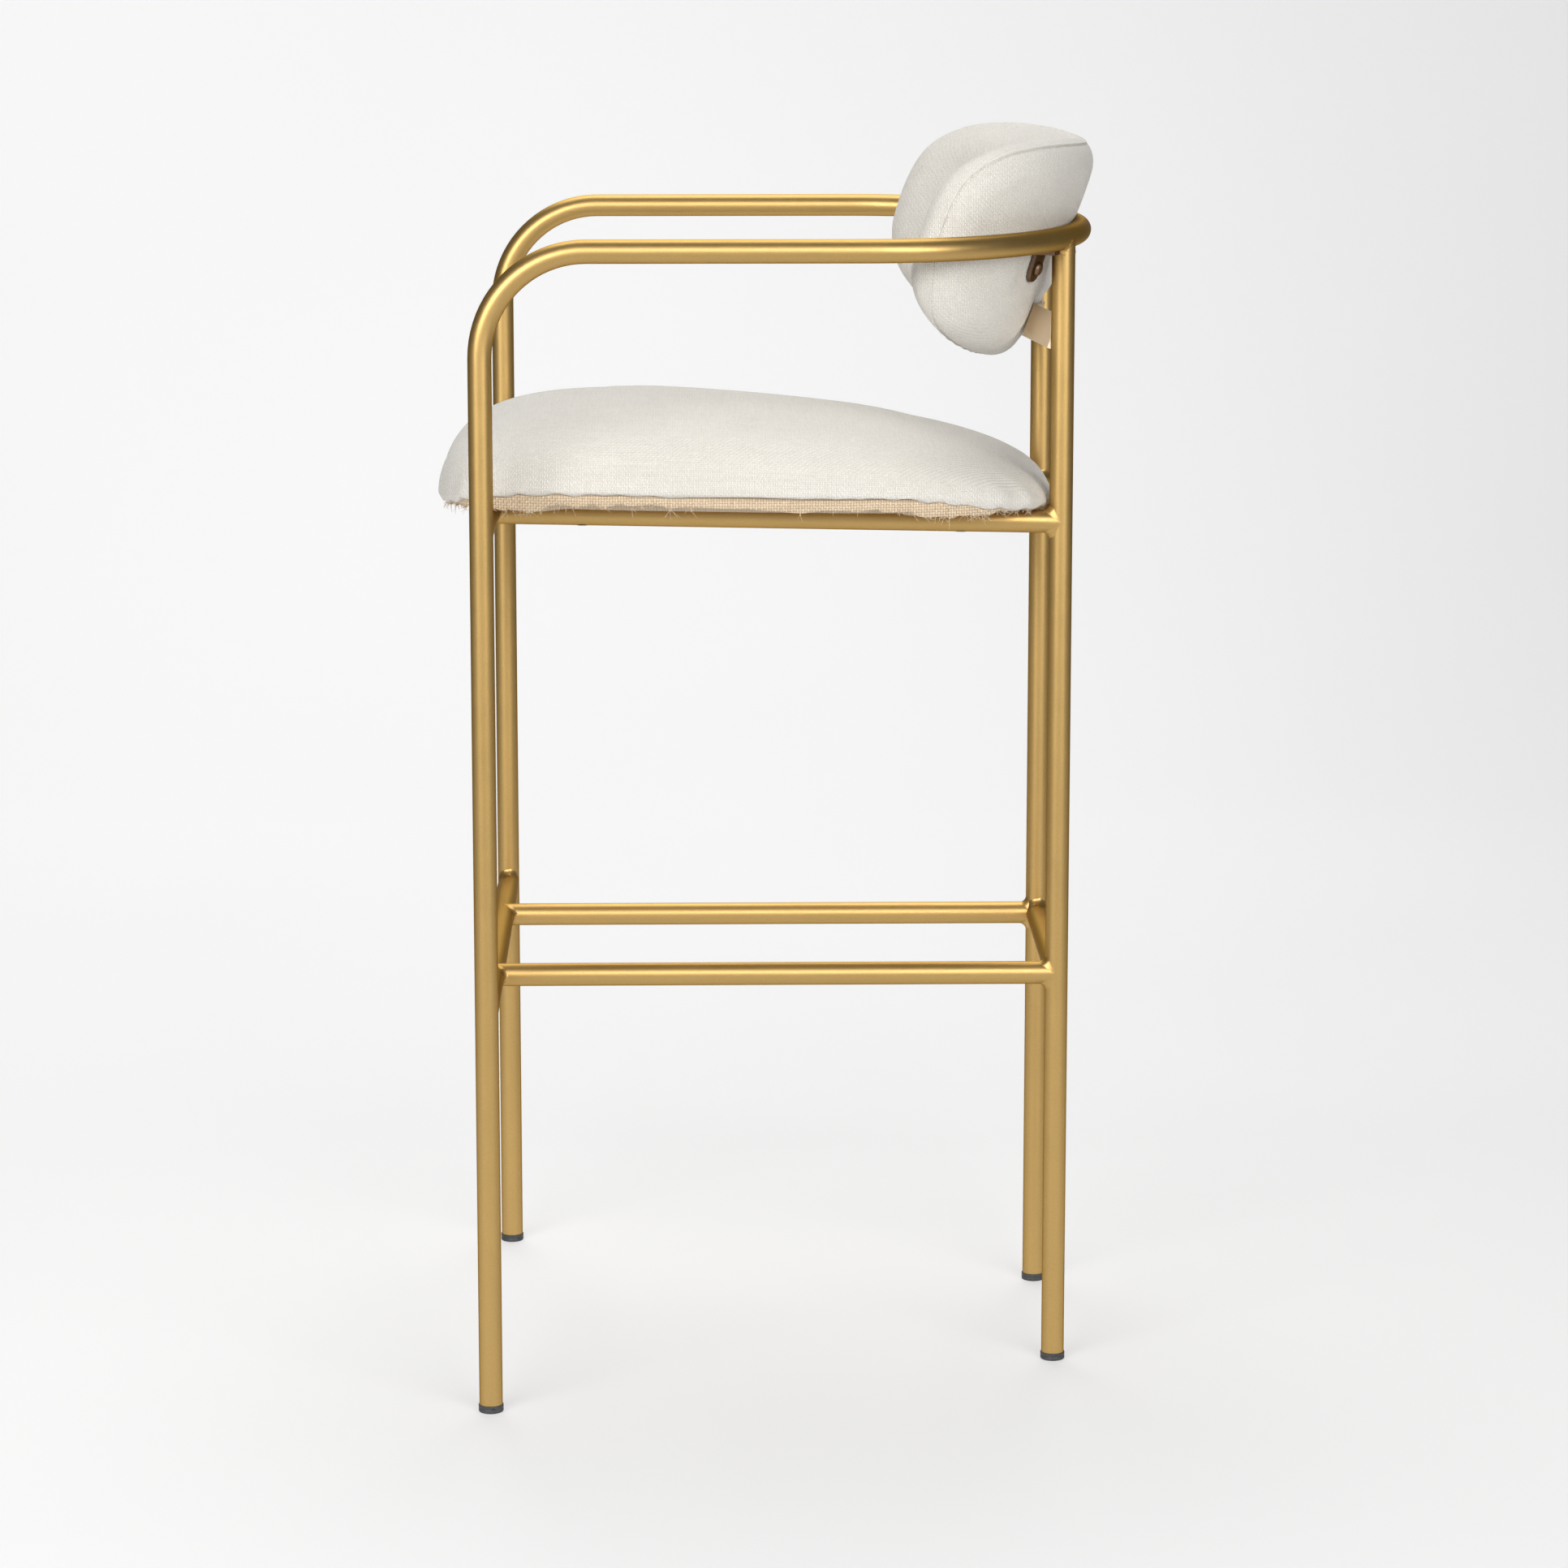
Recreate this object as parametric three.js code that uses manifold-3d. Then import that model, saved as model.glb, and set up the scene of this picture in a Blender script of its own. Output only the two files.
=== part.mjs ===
// A bar stool with arms, a back pad and a footrest, in millimetres, +Z up.
// The origin is on the floor under the middle of the stool, and the sitter faces -Y.
// The frame is welded from steel tube: two front legs that bend over into the arms,
// a rolled hoop that joins the arms behind the sitter, two rear legs under the hoop,
// a ring of seat rails and a ring of footrest rails.

import * as THREE from 'three';
import Module from 'manifold-3d';
import { mergeVertices } from 'three/addons/utils/BufferGeometryUtils.js';

const wasm = await Module();
wasm.setup();

// ---- driving dimensions -------------------------------------------------------------

const TUBE_R = 9.525;
const WALL = 1.5;
const GAP = 0.3;
const TUBE_SIDES = 16;
const SCREW_SIDES = 12;
const OVERSHOOT = 1;
const CHAMFER = 1;
const MERGE_DISTANCE = 1e-4;

const ARM_X = 255;
const ARM_Z = 945;
const ARM_BEND_R = 84;
const FRONT_LEG_Y = -227;
const HOOP_START_Y = 76;
const HOOP_DEPTH = 187;
const REAR_LEG_X = 119;
const REAR_LEG_Y = 242;

const SEAT_RAIL_FRONT_Z = 722;
const SEAT_RAIL_REAR_Z = 713;
const FOOT_RAIL_Z = 334.3;

const CAP_R = 10.2;
const CAP_HEIGHT = 6.2;
const CAP_STEM_LENGTH = 18;

const SEAT_FRONT_Y = -272.8;
const SEAT_REAR_Y = 240;
const SEAT_HALF_WIDTH = 205;
const SEAT_REAR_NARROWING = 30;
const SEAT_NARROW_FROM = -0.4;
const SEAT_NARROW_POWER = 2.8;
const SEAT_FRONT_CORNER = 4.6;
const SEAT_REAR_CORNER = 4.3;
const SEAT_CROWN = 73.5;
const SEAT_CROWN_DROP = 30;
const SEAT_CROWN_POWER = 1.8;
const SEAT_SHOULDER_POWER = 4;
const SEAT_PEAK_Y = -150;
const SEAT_DROP_Y = 202;
const SEAT_RIM_HEIGHT = 19.5;
const SEAT_FRONT_RIM_DROP = 16;
const SEAT_FRONT_RIM_POWER = 6;
const SEAT_REAR_RIM_DROP = 15;
const SEAT_REAR_RIM_POWER = 4;
const SEAT_BOARD_THICK = 12;
const SEAT_BOARD_SCALE = 0.93;
const SEAT_BOARD_EDGE_RISE = 5;
const DUST_COVER_THICK = 1;
const COVER_THICK = 1.2;

const SEAT_SCREW_FRONT_Y = -150;
const SEAT_SCREW_REAR_Y = 160;
const SCREW_R = 2.5;
const SCREW_HOLE_R = 3;
const TEE_FLANGE_R = 9;
const TEE_BARREL_R = 4;
const TEE_BARREL_HEIGHT = 9;
const TEE_FLANGE_THICK = 1.2;
const SEAT_SCREW_HEAD_R = 4.5;
const SEAT_SCREW_HEAD_THICK = 2.6;
const SEAT_SCREW_HEAD_EDGE = 0.6;

const PAD_RADIUS = 284;
const PAD_BACK_Y = 246;
const PAD_MID_Z = 930.5;
const PAD_HALF_HEIGHT = 89.5;
const PAD_HALF_ANGLE = THREE.MathUtils.degToRad(51);
const PAD_LEAN = THREE.MathUtils.degToRad(19.8);
const PAD_TIP_RISE = 30.5;
const PAD_THICK = 47;
const PAD_CORNER = 2.95;
const PAD_EDGE_BAND = 30;
const PAD_CROWN = 0.15;
const PAD_BOARD_DEPTH = 14;
const PAD_BOARD_THICK = 10;
const PAD_BOARD_SCALE = 0.83;
const PAD_CLEARANCE = 4;

const PLATE_THICK = 3;
const TAB_ANGLE = THREE.MathUtils.degToRad(24.4);
const TAB_WIDTH = 22;
const TAB_REACH = 22;
const TAB_BOTTOM_Z = 909;
const TAB_SCREW_Z = 922;
const BRACKET_HEIGHT = 28;
const BRACKET_Z = 872.5;
const BRACKET_SCREW_ANGLE = THREE.MathUtils.degToRad(9);
const BRACKET_HALF_ANGLE = THREE.MathUtils.degToRad(17);
const BRACKET_ARC_STEPS = 5;
const BRACKET_LEG_INSET = 2;
const WOOD_SCREW_LENGTH = 26;
const WOOD_SCREW_POINT = 5;
const WOOD_SCREW_HEAD_R = 6;
const WOOD_SCREW_HEAD_HEIGHT = 3.6;

// ---- materials ----------------------------------------------------------------------

const gold = new THREE.MeshStandardMaterial({ color: 0xb08d57, roughness: 0.38, metalness: 0.85 });
const bronze = new THREE.MeshStandardMaterial({ color: 0x6c5440, roughness: 0.45, metalness: 0.8 });
const steel = new THREE.MeshStandardMaterial({ color: 0xb9b4a8, roughness: 0.35, metalness: 1 });
const rubber = new THREE.MeshStandardMaterial({ color: 0x4a4a4c, roughness: 0.7, metalness: 0 });
const plywood = new THREE.MeshStandardMaterial({ color: 0xc9a878, roughness: 0.7, metalness: 0 });
const foam = new THREE.MeshStandardMaterial({ color: 0xe8dfae, roughness: 0.95, metalness: 0 });
const linen = new THREE.MeshStandardMaterial({ color: 0xe6e1d7, roughness: 0.9, metalness: 0 });
const burlap = new THREE.MeshStandardMaterial({ color: 0xd0b48c, roughness: 0.95, metalness: 0 });

const stool = new THREE.Group();

function addPart(name, geometry, material) {
  const mesh = new THREE.Mesh(geometry, material);
  mesh.name = name;
  stool.add(mesh);
}

// ---- joining and cutting ------------------------------------------------------------

function toSolid(geometry) {
  const bare = geometry.clone();
  bare.deleteAttribute('normal');
  bare.deleteAttribute('uv');
  const merged = mergeVertices(bare, MERGE_DISTANCE);
  const vertProperties = new Float32Array(merged.attributes.position.array);
  const triVerts = new Uint32Array(merged.index.array);
  return new wasm.Manifold(new wasm.Mesh({ numProp: 3, vertProperties, triVerts }));
}

function toGeometry(solid) {
  const mesh = solid.getMesh();
  const geometry = new THREE.BufferGeometry();
  geometry.setAttribute('position', new THREE.BufferAttribute(mesh.vertProperties, 3));
  geometry.setIndex(new THREE.BufferAttribute(mesh.triVerts, 1));
  return geometry;
}

function cut(geometry, tools) {
  let solid = toSolid(geometry);
  for (const tool of tools) {
    solid = solid.subtract(toSolid(tool));
  }
  return toGeometry(solid);
}

function common(first, second) {
  return toGeometry(toSolid(first).intersect(toSolid(second)));
}

// A closed cylinder whose axis runs from one point to another.
function rod(start, end, radius, sides = TUBE_SIDES) {
  const along = end.clone().sub(start);
  const geometry = new THREE.CylinderGeometry(radius, radius, along.length(), sides);
  const turn = new THREE.Quaternion().setFromUnitVectors(
    new THREE.Vector3(0, 1, 0),
    along.clone().normalize(),
  );
  geometry.applyQuaternion(turn);
  const middle = start.clone().add(end).multiplyScalar(0.5);
  return geometry.translate(middle.x, middle.y, middle.z);
}

// ---- tube ---------------------------------------------------------------------------

// A curve through hand-placed points that is sampled exactly at those points.
class BendPath extends THREE.Curve {
  constructor(points) {
    super();
    this.points = points;
  }

  getPoint(t, target = new THREE.Vector3()) {
    const last = this.points.length - 1;
    const place = Math.min(t * last, last);
    const index = Math.min(Math.floor(place), last - 1);
    return target.lerpVectors(this.points[index], this.points[index + 1], place - index);
  }

  getUtoTmapping(u) {
    return u;
  }
}

function tubeAlong(points, radius, boreRadius) {
  const section = new THREE.Shape();
  section.absarc(0, 0, radius, 0, Math.PI * 2);
  if (boreRadius > 0) {
    const bore = new THREE.Path();
    bore.absarc(0, 0, boreRadius, 0, Math.PI * 2, true);
    section.holes.push(bore);
  }
  return new THREE.ExtrudeGeometry(section, {
    steps: points.length - 1,
    curveSegments: TUBE_SIDES / 2,
    extrudePath: new BendPath(points),
  });
}

function hollowTube(points) {
  return tubeAlong(points, TUBE_R, TUBE_R - WALL);
}

function straightTube(start, end) {
  return hollowTube([start, end]);
}

const TUBE_BOTTOM_Z = CAP_HEIGHT + GAP;

function point(x, y, z) {
  return new THREE.Vector3(x, y, z);
}

function armLegPoints(side) {
  const bendSteps = 6;
  const points = [point(side * ARM_X, FRONT_LEG_Y, TUBE_BOTTOM_Z)];
  for (let i = 0; i <= bendSteps; i += 1) {
    const angle = (i / bendSteps) * (Math.PI / 2);
    const y = FRONT_LEG_Y + ARM_BEND_R * (1 - Math.cos(angle));
    const z = ARM_Z - ARM_BEND_R * (1 - Math.sin(angle));
    points.push(point(side * ARM_X, y, z));
  }
  points.push(point(side * ARM_X, HOOP_START_Y - GAP, ARM_Z));
  return points;
}

// The hoop is half an ellipse in plan, with a short straight lead at each end.
function hoopPoints() {
  const steps = 16;
  const lead = 3;
  const points = [point(ARM_X, HOOP_START_Y, ARM_Z)];
  for (let i = 0; i <= steps; i += 1) {
    const angle = (i / steps) * Math.PI;
    const y = HOOP_START_Y + lead + (HOOP_DEPTH - lead) * Math.sin(angle);
    points.push(point(ARM_X * Math.cos(angle), y, ARM_Z));
  }
  points.push(point(-ARM_X, HOOP_START_Y, ARM_Z));
  return points;
}

const SIDES = [['left', 1], ['right', -1]];

for (const [name, side] of SIDES) {
  addPart(`arm_leg_tube_${name}`, hollowTube(armLegPoints(side)), gold);
}
addPart('back_hoop_tube', hollowTube(hoopPoints()), gold);

const legCutters = {};
const hoopCutter = tubeAlong(hoopPoints(), TUBE_R + GAP, 0);
for (const [name, side] of SIDES) {
  const foot = point(side * REAR_LEG_X, REAR_LEG_Y, TUBE_BOTTOM_Z);
  const head = point(side * REAR_LEG_X, REAR_LEG_Y, ARM_Z);
  addPart(`rear_leg_tube_${name}`, cut(straightTube(foot, head), [hoopCutter]), gold);
  legCutters[`rear_${name}`] = rod(foot, head, TUBE_R + GAP);
  const frontFoot = point(side * ARM_X, FRONT_LEG_Y, TUBE_BOTTOM_Z);
  const frontHead = point(side * ARM_X, FRONT_LEG_Y, ARM_Z - ARM_BEND_R);
  legCutters[`front_${name}`] = rod(frontFoot, frontHead, TUBE_R + GAP);
}

// ---- rails --------------------------------------------------------------------------

const SEAT_LEAN = Math.atan2(SEAT_RAIL_FRONT_Z - SEAT_RAIL_REAR_Z, REAR_LEG_Y - FRONT_LEG_Y);

// The seat's own frame: its X-Y plane lies on top of the four seat rails.
const seatFrame = new THREE.Matrix4()
  .makeTranslation(0, FRONT_LEG_Y, SEAT_RAIL_FRONT_Z)
  .multiply(new THREE.Matrix4().makeRotationX(-SEAT_LEAN))
  .multiply(new THREE.Matrix4().makeTranslation(0, -FRONT_LEG_Y, TUBE_R));

function inSeatFrame(geometry) {
  return geometry.applyMatrix4(seatFrame);
}

// One ring of rails: a front and a rear cross rail and two side rails between them.
// holes lists the rods that are drilled through the side rails.
function railRing(prefix, frontZ, rearZ, holes) {
  const frontRight = point(-ARM_X, FRONT_LEG_Y, frontZ);
  const frontLeft = point(ARM_X, FRONT_LEG_Y, frontZ);
  const frontCut = rod(frontRight, frontLeft, TUBE_R + GAP);
  const front = cut(straightTube(frontRight, frontLeft), [legCutters.front_left, legCutters.front_right]);
  addPart(`${prefix}_rail_front`, front, gold);

  const sideCutters = [];
  for (const [name, side] of SIDES) {
    const start = point(side * REAR_LEG_X, FRONT_LEG_Y, frontZ);
    const end = point(side * REAR_LEG_X, REAR_LEG_Y, rearZ);
    const cutters = [frontCut, legCutters[`rear_${name}`], ...holes];
    addPart(`${prefix}_rail_${name}`, cut(straightTube(start, end), cutters), gold);
    sideCutters.push(rod(start, end, TUBE_R + GAP));
  }

  const rear = straightTube(
    point(-REAR_LEG_X, REAR_LEG_Y, rearZ),
    point(REAR_LEG_X, REAR_LEG_Y, rearZ),
  );
  const rearCutters = [legCutters.rear_left, legCutters.rear_right, ...sideCutters];
  addPart(`${prefix}_rail_rear`, cut(rear, rearCutters), gold);
}

const SEAT_SCREW_PLACES = [];
for (const [end, y] of [['front', SEAT_SCREW_FRONT_Y], ['rear', SEAT_SCREW_REAR_Y]]) {
  for (const [name, side] of SIDES) {
    SEAT_SCREW_PLACES.push({ name: `${end}_${name}`, x: side * REAR_LEG_X, y });
  }
}

const BOARD_BOTTOM = GAP + DUST_COVER_THICK + GAP;
const BOARD_TOP = BOARD_BOTTOM + SEAT_BOARD_THICK;
const SEAT_SCREW_HOLE_DEPTH = 2 * TUBE_R + OVERSHOOT;

function seatHole(place, radius, bottom, top) {
  const start = point(place.x, place.y, bottom);
  const end = point(place.x, place.y, top);
  return inSeatFrame(rod(start, end, radius, SCREW_SIDES));
}

const seatScrewHoles = SEAT_SCREW_PLACES.map(
  (place) => seatHole(place, SCREW_HOLE_R, -SEAT_SCREW_HOLE_DEPTH, BOARD_TOP),
);
const seatHeadHoles = SEAT_SCREW_PLACES.map(
  (place) => seatHole(place, SEAT_SCREW_HEAD_R + GAP, -SEAT_SCREW_HOLE_DEPTH, -TUBE_R),
);

railRing('seat', SEAT_RAIL_FRONT_Z, SEAT_RAIL_REAR_Z, [...seatScrewHoles, ...seatHeadHoles]);
railRing('foot', FOOT_RAIL_Z, FOOT_RAIL_Z, []);

// ---- foot caps ----------------------------------------------------------------------

function footCap(x, y) {
  const stemR = TUBE_R - WALL - GAP;
  const edge = 1.2;
  const profile = [
    [0, 0],
    [CAP_R - edge, 0],
    [CAP_R, edge],
    [CAP_R, CAP_HEIGHT],
    [stemR, CAP_HEIGHT],
    [stemR, CAP_HEIGHT + CAP_STEM_LENGTH - edge],
    [stemR - edge, CAP_HEIGHT + CAP_STEM_LENGTH],
    [0, CAP_HEIGHT + CAP_STEM_LENGTH],
  ].map(([r, z]) => new THREE.Vector2(r, z));
  return new THREE.LatheGeometry(profile, TUBE_SIDES).rotateX(Math.PI / 2).translate(x, y, 0);
}

for (const [name, side] of SIDES) {
  addPart(`foot_cap_front_${name}`, footCap(side * ARM_X, FRONT_LEG_Y), rubber);
  addPart(`foot_cap_rear_${name}`, footCap(side * REAR_LEG_X, REAR_LEG_Y), rubber);
}

// ---- rounded bodies -----------------------------------------------------------------

// A closed body with a pole in front and a pole behind. surface(rho, angle, front) gives
// the point at rho (0 at a pole, 1 at the rim) and angle round the rim.
function poleBody(spokes, rings, surface) {
  const rows = 2 * rings + 1;
  const geometry = new THREE.SphereGeometry(1, spokes, rows).rotateX(Math.PI / 2);
  const position = geometry.attributes.position;
  const perRow = spokes + 1;
  for (let i = 0; i < position.count; i += 1) {
    const row = Math.floor(i / perRow);
    const angle = ((i % perRow) % spokes) * ((2 * Math.PI) / spokes);
    const front = row <= rings;
    const step = front ? row : rows - row;
    const rho = Math.sin((step / rings) * (Math.PI / 2));
    const place = surface(rho, angle, front);
    position.setXYZ(i, place.x, place.y, place.z);
  }
  return geometry;
}

// A square-ish round outline: the point of the unit superellipse at an angle.
function roundedUnit(angle, corner) {
  const c = Math.cos(angle);
  const s = Math.sin(angle);
  return {
    across: Math.sign(c) * Math.abs(c) ** (2 / corner),
    along: Math.sign(s) * Math.abs(s) ** (2 / corner),
  };
}

// ---- seat ---------------------------------------------------------------------------

const SEAT_MID_Y = (SEAT_FRONT_Y + SEAT_REAR_Y) / 2;
const SEAT_HALF_LENGTH = (SEAT_REAR_Y - SEAT_FRONT_Y) / 2;

function seatPlan(rho, angle) {
  const corner = Math.sin(angle) < 0 ? SEAT_FRONT_CORNER : SEAT_REAR_CORNER;
  const unit = roundedUnit(angle, corner);
  const along = rho * unit.along;
  const behind = Math.max(0, (along - SEAT_NARROW_FROM) / (1 - SEAT_NARROW_FROM));
  const halfWidth = SEAT_HALF_WIDTH - SEAT_REAR_NARROWING * behind ** SEAT_NARROW_POWER;
  return { x: rho * unit.across * halfWidth, y: SEAT_MID_Y + along * SEAT_HALF_LENGTH, along };
}

function seatRimHeight(along) {
  const frontDrop = SEAT_FRONT_RIM_DROP * Math.max(0, -along) ** SEAT_FRONT_RIM_POWER;
  const rearDrop = SEAT_REAR_RIM_DROP * Math.max(0, along) ** SEAT_REAR_RIM_POWER;
  return SEAT_RIM_HEIGHT - frontDrop - rearDrop;
}

// The height of the cushion's top, which is crowned and falls towards the rear.
function seatTop(rho, place) {
  const behind = Math.max(0, (place.y - SEAT_PEAK_Y) / (SEAT_DROP_Y - SEAT_PEAK_Y));
  const crown = SEAT_CROWN - SEAT_CROWN_DROP * behind ** SEAT_CROWN_POWER;
  const rim = seatRimHeight(place.along);
  return rim + (crown - rim) * Math.sqrt(Math.max(0, 1 - rho ** SEAT_SHOULDER_POWER));
}

// A level layer of the seat's base. Its underside and, where topRises, its top turn up
// towards the edge.
const SEAT_SPOKES = 28;
const SEAT_BASE_RINGS = 3;
const SEAT_BASE_FLAT = Math.sin(((SEAT_BASE_RINGS - 1) / SEAT_BASE_RINGS) * (Math.PI / 2));

function seatLayer(bottom, top, topRises) {
  const layer = poleBody(SEAT_SPOKES, SEAT_BASE_RINGS, (rho, angle, front) => {
    const place = seatPlan(rho * SEAT_BOARD_SCALE, angle);
    const edge = Math.max(0, (rho - SEAT_BASE_FLAT) / (1 - SEAT_BASE_FLAT));
    const rise = SEAT_BOARD_EDGE_RISE * edge;
    const height = front ? top + (topRises ? rise : 0) : bottom + rise;
    return point(place.x, place.y, height);
  });
  return inSeatFrame(layer);
}

const dustCover = seatLayer(GAP, GAP + DUST_COVER_THICK, true);
addPart('seat_dust_cover', cut(dustCover, seatScrewHoles), burlap);

const teeNutHoles = SEAT_SCREW_PLACES.map(
  (place) => seatHole(place, TEE_BARREL_R + GAP, BOARD_BOTTOM - OVERSHOOT, BOARD_TOP + OVERSHOOT),
);
const board = seatLayer(BOARD_BOTTOM, BOARD_TOP, false);
addPart('seat_board', cut(board, teeNutHoles), plywood);

// The foam sits on the board, inside the cover.
const FOAM_BOTTOM = BOARD_TOP + GAP;
const FOAM_SCALE = 0.94;
const FOAM_TUCK = 1.02;
const FOAM_CLEARANCE = 1.2;
const FOAM_RINGS = 5;
const TEE_RECESS = TEE_FLANGE_THICK + 2 * OVERSHOOT;

function seatFoamSurface(rho, angle, front) {
  const place = seatPlan(rho * FOAM_SCALE, angle);
  const top = seatTop(rho * FOAM_SCALE * FOAM_TUCK, place) - COVER_THICK - FOAM_CLEARANCE;
  return point(place.x, place.y, front ? top : FOAM_BOTTOM);
}

const teeNutRecesses = SEAT_SCREW_PLACES.map(
  (place) => seatHole(place, TEE_FLANGE_R + GAP, FOAM_BOTTOM - OVERSHOOT, FOAM_BOTTOM + TEE_RECESS),
);
const seatFoam = inSeatFrame(poleBody(SEAT_SPOKES, FOAM_RINGS, seatFoamSurface));
addPart('seat_foam', cut(seatFoam, teeNutRecesses), foam);

// The cover is one skin over the foam, turned in under the board's edge.
const COVER_LIP_HEIGHT = 2;
const COVER_LIP_SCALE = 0.965;
const COVER_TURN = 0.8;
const COVER_RINGS = 10;

function seatCoverSurface(rho, angle, front) {
  const meridian = (Math.asin(Math.min(1, rho)) * 2) / Math.PI;
  const inset = front ? 0 : COVER_THICK;
  const insetScale = 1 - inset / SEAT_HALF_WIDTH;
  if (meridian <= COVER_TURN) {
    const spread = Math.sin(((meridian / COVER_TURN) * Math.PI) / 2);
    const place = seatPlan(spread, angle);
    const x = place.x * insetScale;
    const y = SEAT_MID_Y + (place.y - SEAT_MID_Y) * insetScale;
    return point(x, y, seatTop(spread, place) - inset);
  }
  const turn = (meridian - COVER_TURN) / (1 - COVER_TURN);
  const scale = (1 - (1 - COVER_LIP_SCALE) * turn ** 2) * insetScale;
  const place = seatPlan(1, angle);
  const rim = seatRimHeight(place.along);
  const height = rim + (COVER_LIP_HEIGHT - rim) * turn - inset * (1 - turn);
  return point(place.x * scale, SEAT_MID_Y + (place.y - SEAT_MID_Y) * scale, height);
}

addPart('seat_cover', inSeatFrame(poleBody(SEAT_SPOKES, COVER_RINGS, seatCoverSurface)), linen);

// ---- seat screws and tee nuts -------------------------------------------------------

function lathe(profile, sides) {
  const points = profile.map(([r, z]) => new THREE.Vector2(r, z));
  return new THREE.LatheGeometry(points, sides).rotateX(Math.PI / 2);
}

// The heads are countersunk flush with the underside of the side rails, and the tips end
// just inside the board.
for (const place of SEAT_SCREW_PLACES) {
  const headBottom = -2 * TUBE_R;
  const tip = BOARD_TOP - OVERSHOOT;
  const screw = lathe([
    [0, headBottom],
    [SEAT_SCREW_HEAD_R, headBottom],
    [SEAT_SCREW_HEAD_R, headBottom + SEAT_SCREW_HEAD_EDGE],
    [SCREW_R, headBottom + SEAT_SCREW_HEAD_THICK],
    [SCREW_R, tip - CHAMFER],
    [SCREW_R - CHAMFER, tip],
    [0, tip],
  ], SCREW_SIDES);
  addPart(`seat_screw_${place.name}`, inSeatFrame(screw.translate(place.x, place.y, 0)), steel);

  const flangeBottom = BOARD_TOP + GAP;
  const barrelBottom = flangeBottom - TEE_BARREL_HEIGHT;
  const boreR = SCREW_R + GAP;
  const nut = lathe([
    [boreR, barrelBottom],
    [TEE_BARREL_R, barrelBottom],
    [TEE_BARREL_R, flangeBottom],
    [TEE_FLANGE_R, flangeBottom],
    [TEE_FLANGE_R, flangeBottom + TEE_FLANGE_THICK],
    [boreR, flangeBottom + TEE_FLANGE_THICK],
    [boreR, barrelBottom],
  ], SCREW_SIDES);
  addPart(`seat_tee_nut_${place.name}`, inSeatFrame(nut.translate(place.x, place.y, 0)), steel);
}

// ---- back pad -----------------------------------------------------------------------

const PAD_SPOKES = 24;
const PAD_PANEL_RINGS = 8;
const PAD_LAYER_RINGS = 4;
const PAD_LAYER_GAP = 2.5;
const PAD_FOAM_TUCK = 1.1;
const PAD_RIM_INSET = 1.3;

// A point of the curved, leaning pad. across and up run from -1 to 1, and depth is the
// distance in front of the pad's rearmost surface.
function padPoint(across, up, depth) {
  const angle = across * PAD_HALF_ANGLE;
  const radius = PAD_RADIUS - depth;
  const rise = up * PAD_HALF_HEIGHT;
  const y = PAD_BACK_Y - PAD_RADIUS + radius * Math.cos(angle) + rise * Math.tan(PAD_LEAN);
  return point(radius * Math.sin(angle), y, PAD_MID_Z + rise + PAD_TIP_RISE * across ** 2);
}

const PAD_HALF_LENGTH = PAD_HALF_ANGLE * (PAD_RADIUS - PAD_THICK / 2);

// Half of the pad's thickness, thinned by inset on every side. The edge is rounded over a
// band of even width, and the middle is slightly fuller than the rest.
function padHalfThickness(across, up, inset) {
  const rho = (Math.abs(across) ** PAD_CORNER + Math.abs(up) ** PAD_CORNER) ** (1 / PAD_CORNER);
  if (rho === 0) {
    return PAD_THICK / 2 - inset;
  }
  const slope = Math.hypot(
    Math.abs(across / rho) ** (PAD_CORNER - 1) / PAD_HALF_LENGTH,
    Math.abs(up / rho) ** (PAD_CORNER - 1) / PAD_HALF_HEIGHT,
  );
  const fromRim = THREE.MathUtils.clamp((1 - rho) / (slope * PAD_EDGE_BAND), 0, 1);
  const crown = (1 + PAD_CROWN * (1 - rho ** 2)) / (1 + PAD_CROWN);
  return (PAD_THICK / 2 - inset) * crown * Math.sqrt(1 - (1 - fromRim) ** 2);
}

function padSkinPoint(rho, angle, inset, facing) {
  const unit = roundedUnit(angle, PAD_CORNER);
  const scale = rho * (1 - (PAD_RIM_INSET * inset) / PAD_HALF_HEIGHT);
  const half = padHalfThickness(rho * unit.across, rho * unit.along, inset);
  const depth = PAD_THICK / 2 + facing * (GAP / 2 + half);
  return padPoint(scale * unit.across, scale * unit.along, depth);
}

// facing is 1 for the panel that the sitter leans on and -1 for the panel behind it.
function padPanel(facing) {
  return poleBody(PAD_SPOKES, PAD_PANEL_RINGS, (rho, angle, front) => {
    const outside = facing > 0 ? front : !front;
    return padSkinPoint(rho, angle, outside ? 0 : COVER_THICK, facing);
  });
}

function padFiller(facing, boardDepth) {
  return poleBody(PAD_SPOKES, PAD_LAYER_RINGS, (rho, angle, front) => {
    const unit = roundedUnit(angle, PAD_CORNER);
    const spread = rho * PAD_BOARD_SCALE;
    const tucked = spread * PAD_FOAM_TUCK;
    const half = padHalfThickness(tucked * unit.across, tucked * unit.along, COVER_THICK) - PAD_LAYER_GAP;
    const skinDepth = PAD_THICK / 2 + facing * half;
    const depth = (facing > 0) === front ? skinDepth : boardDepth;
    return padPoint(spread * unit.across, spread * unit.along, depth);
  });
}

const padBoard = poleBody(PAD_SPOKES, PAD_LAYER_RINGS, (rho, angle, front) => {
  const unit = roundedUnit(angle, PAD_CORNER);
  const spread = rho * PAD_BOARD_SCALE;
  const depth = front ? PAD_BOARD_DEPTH + PAD_BOARD_THICK : PAD_BOARD_DEPTH;
  return padPoint(spread * unit.across, spread * unit.along, depth);
});

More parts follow.
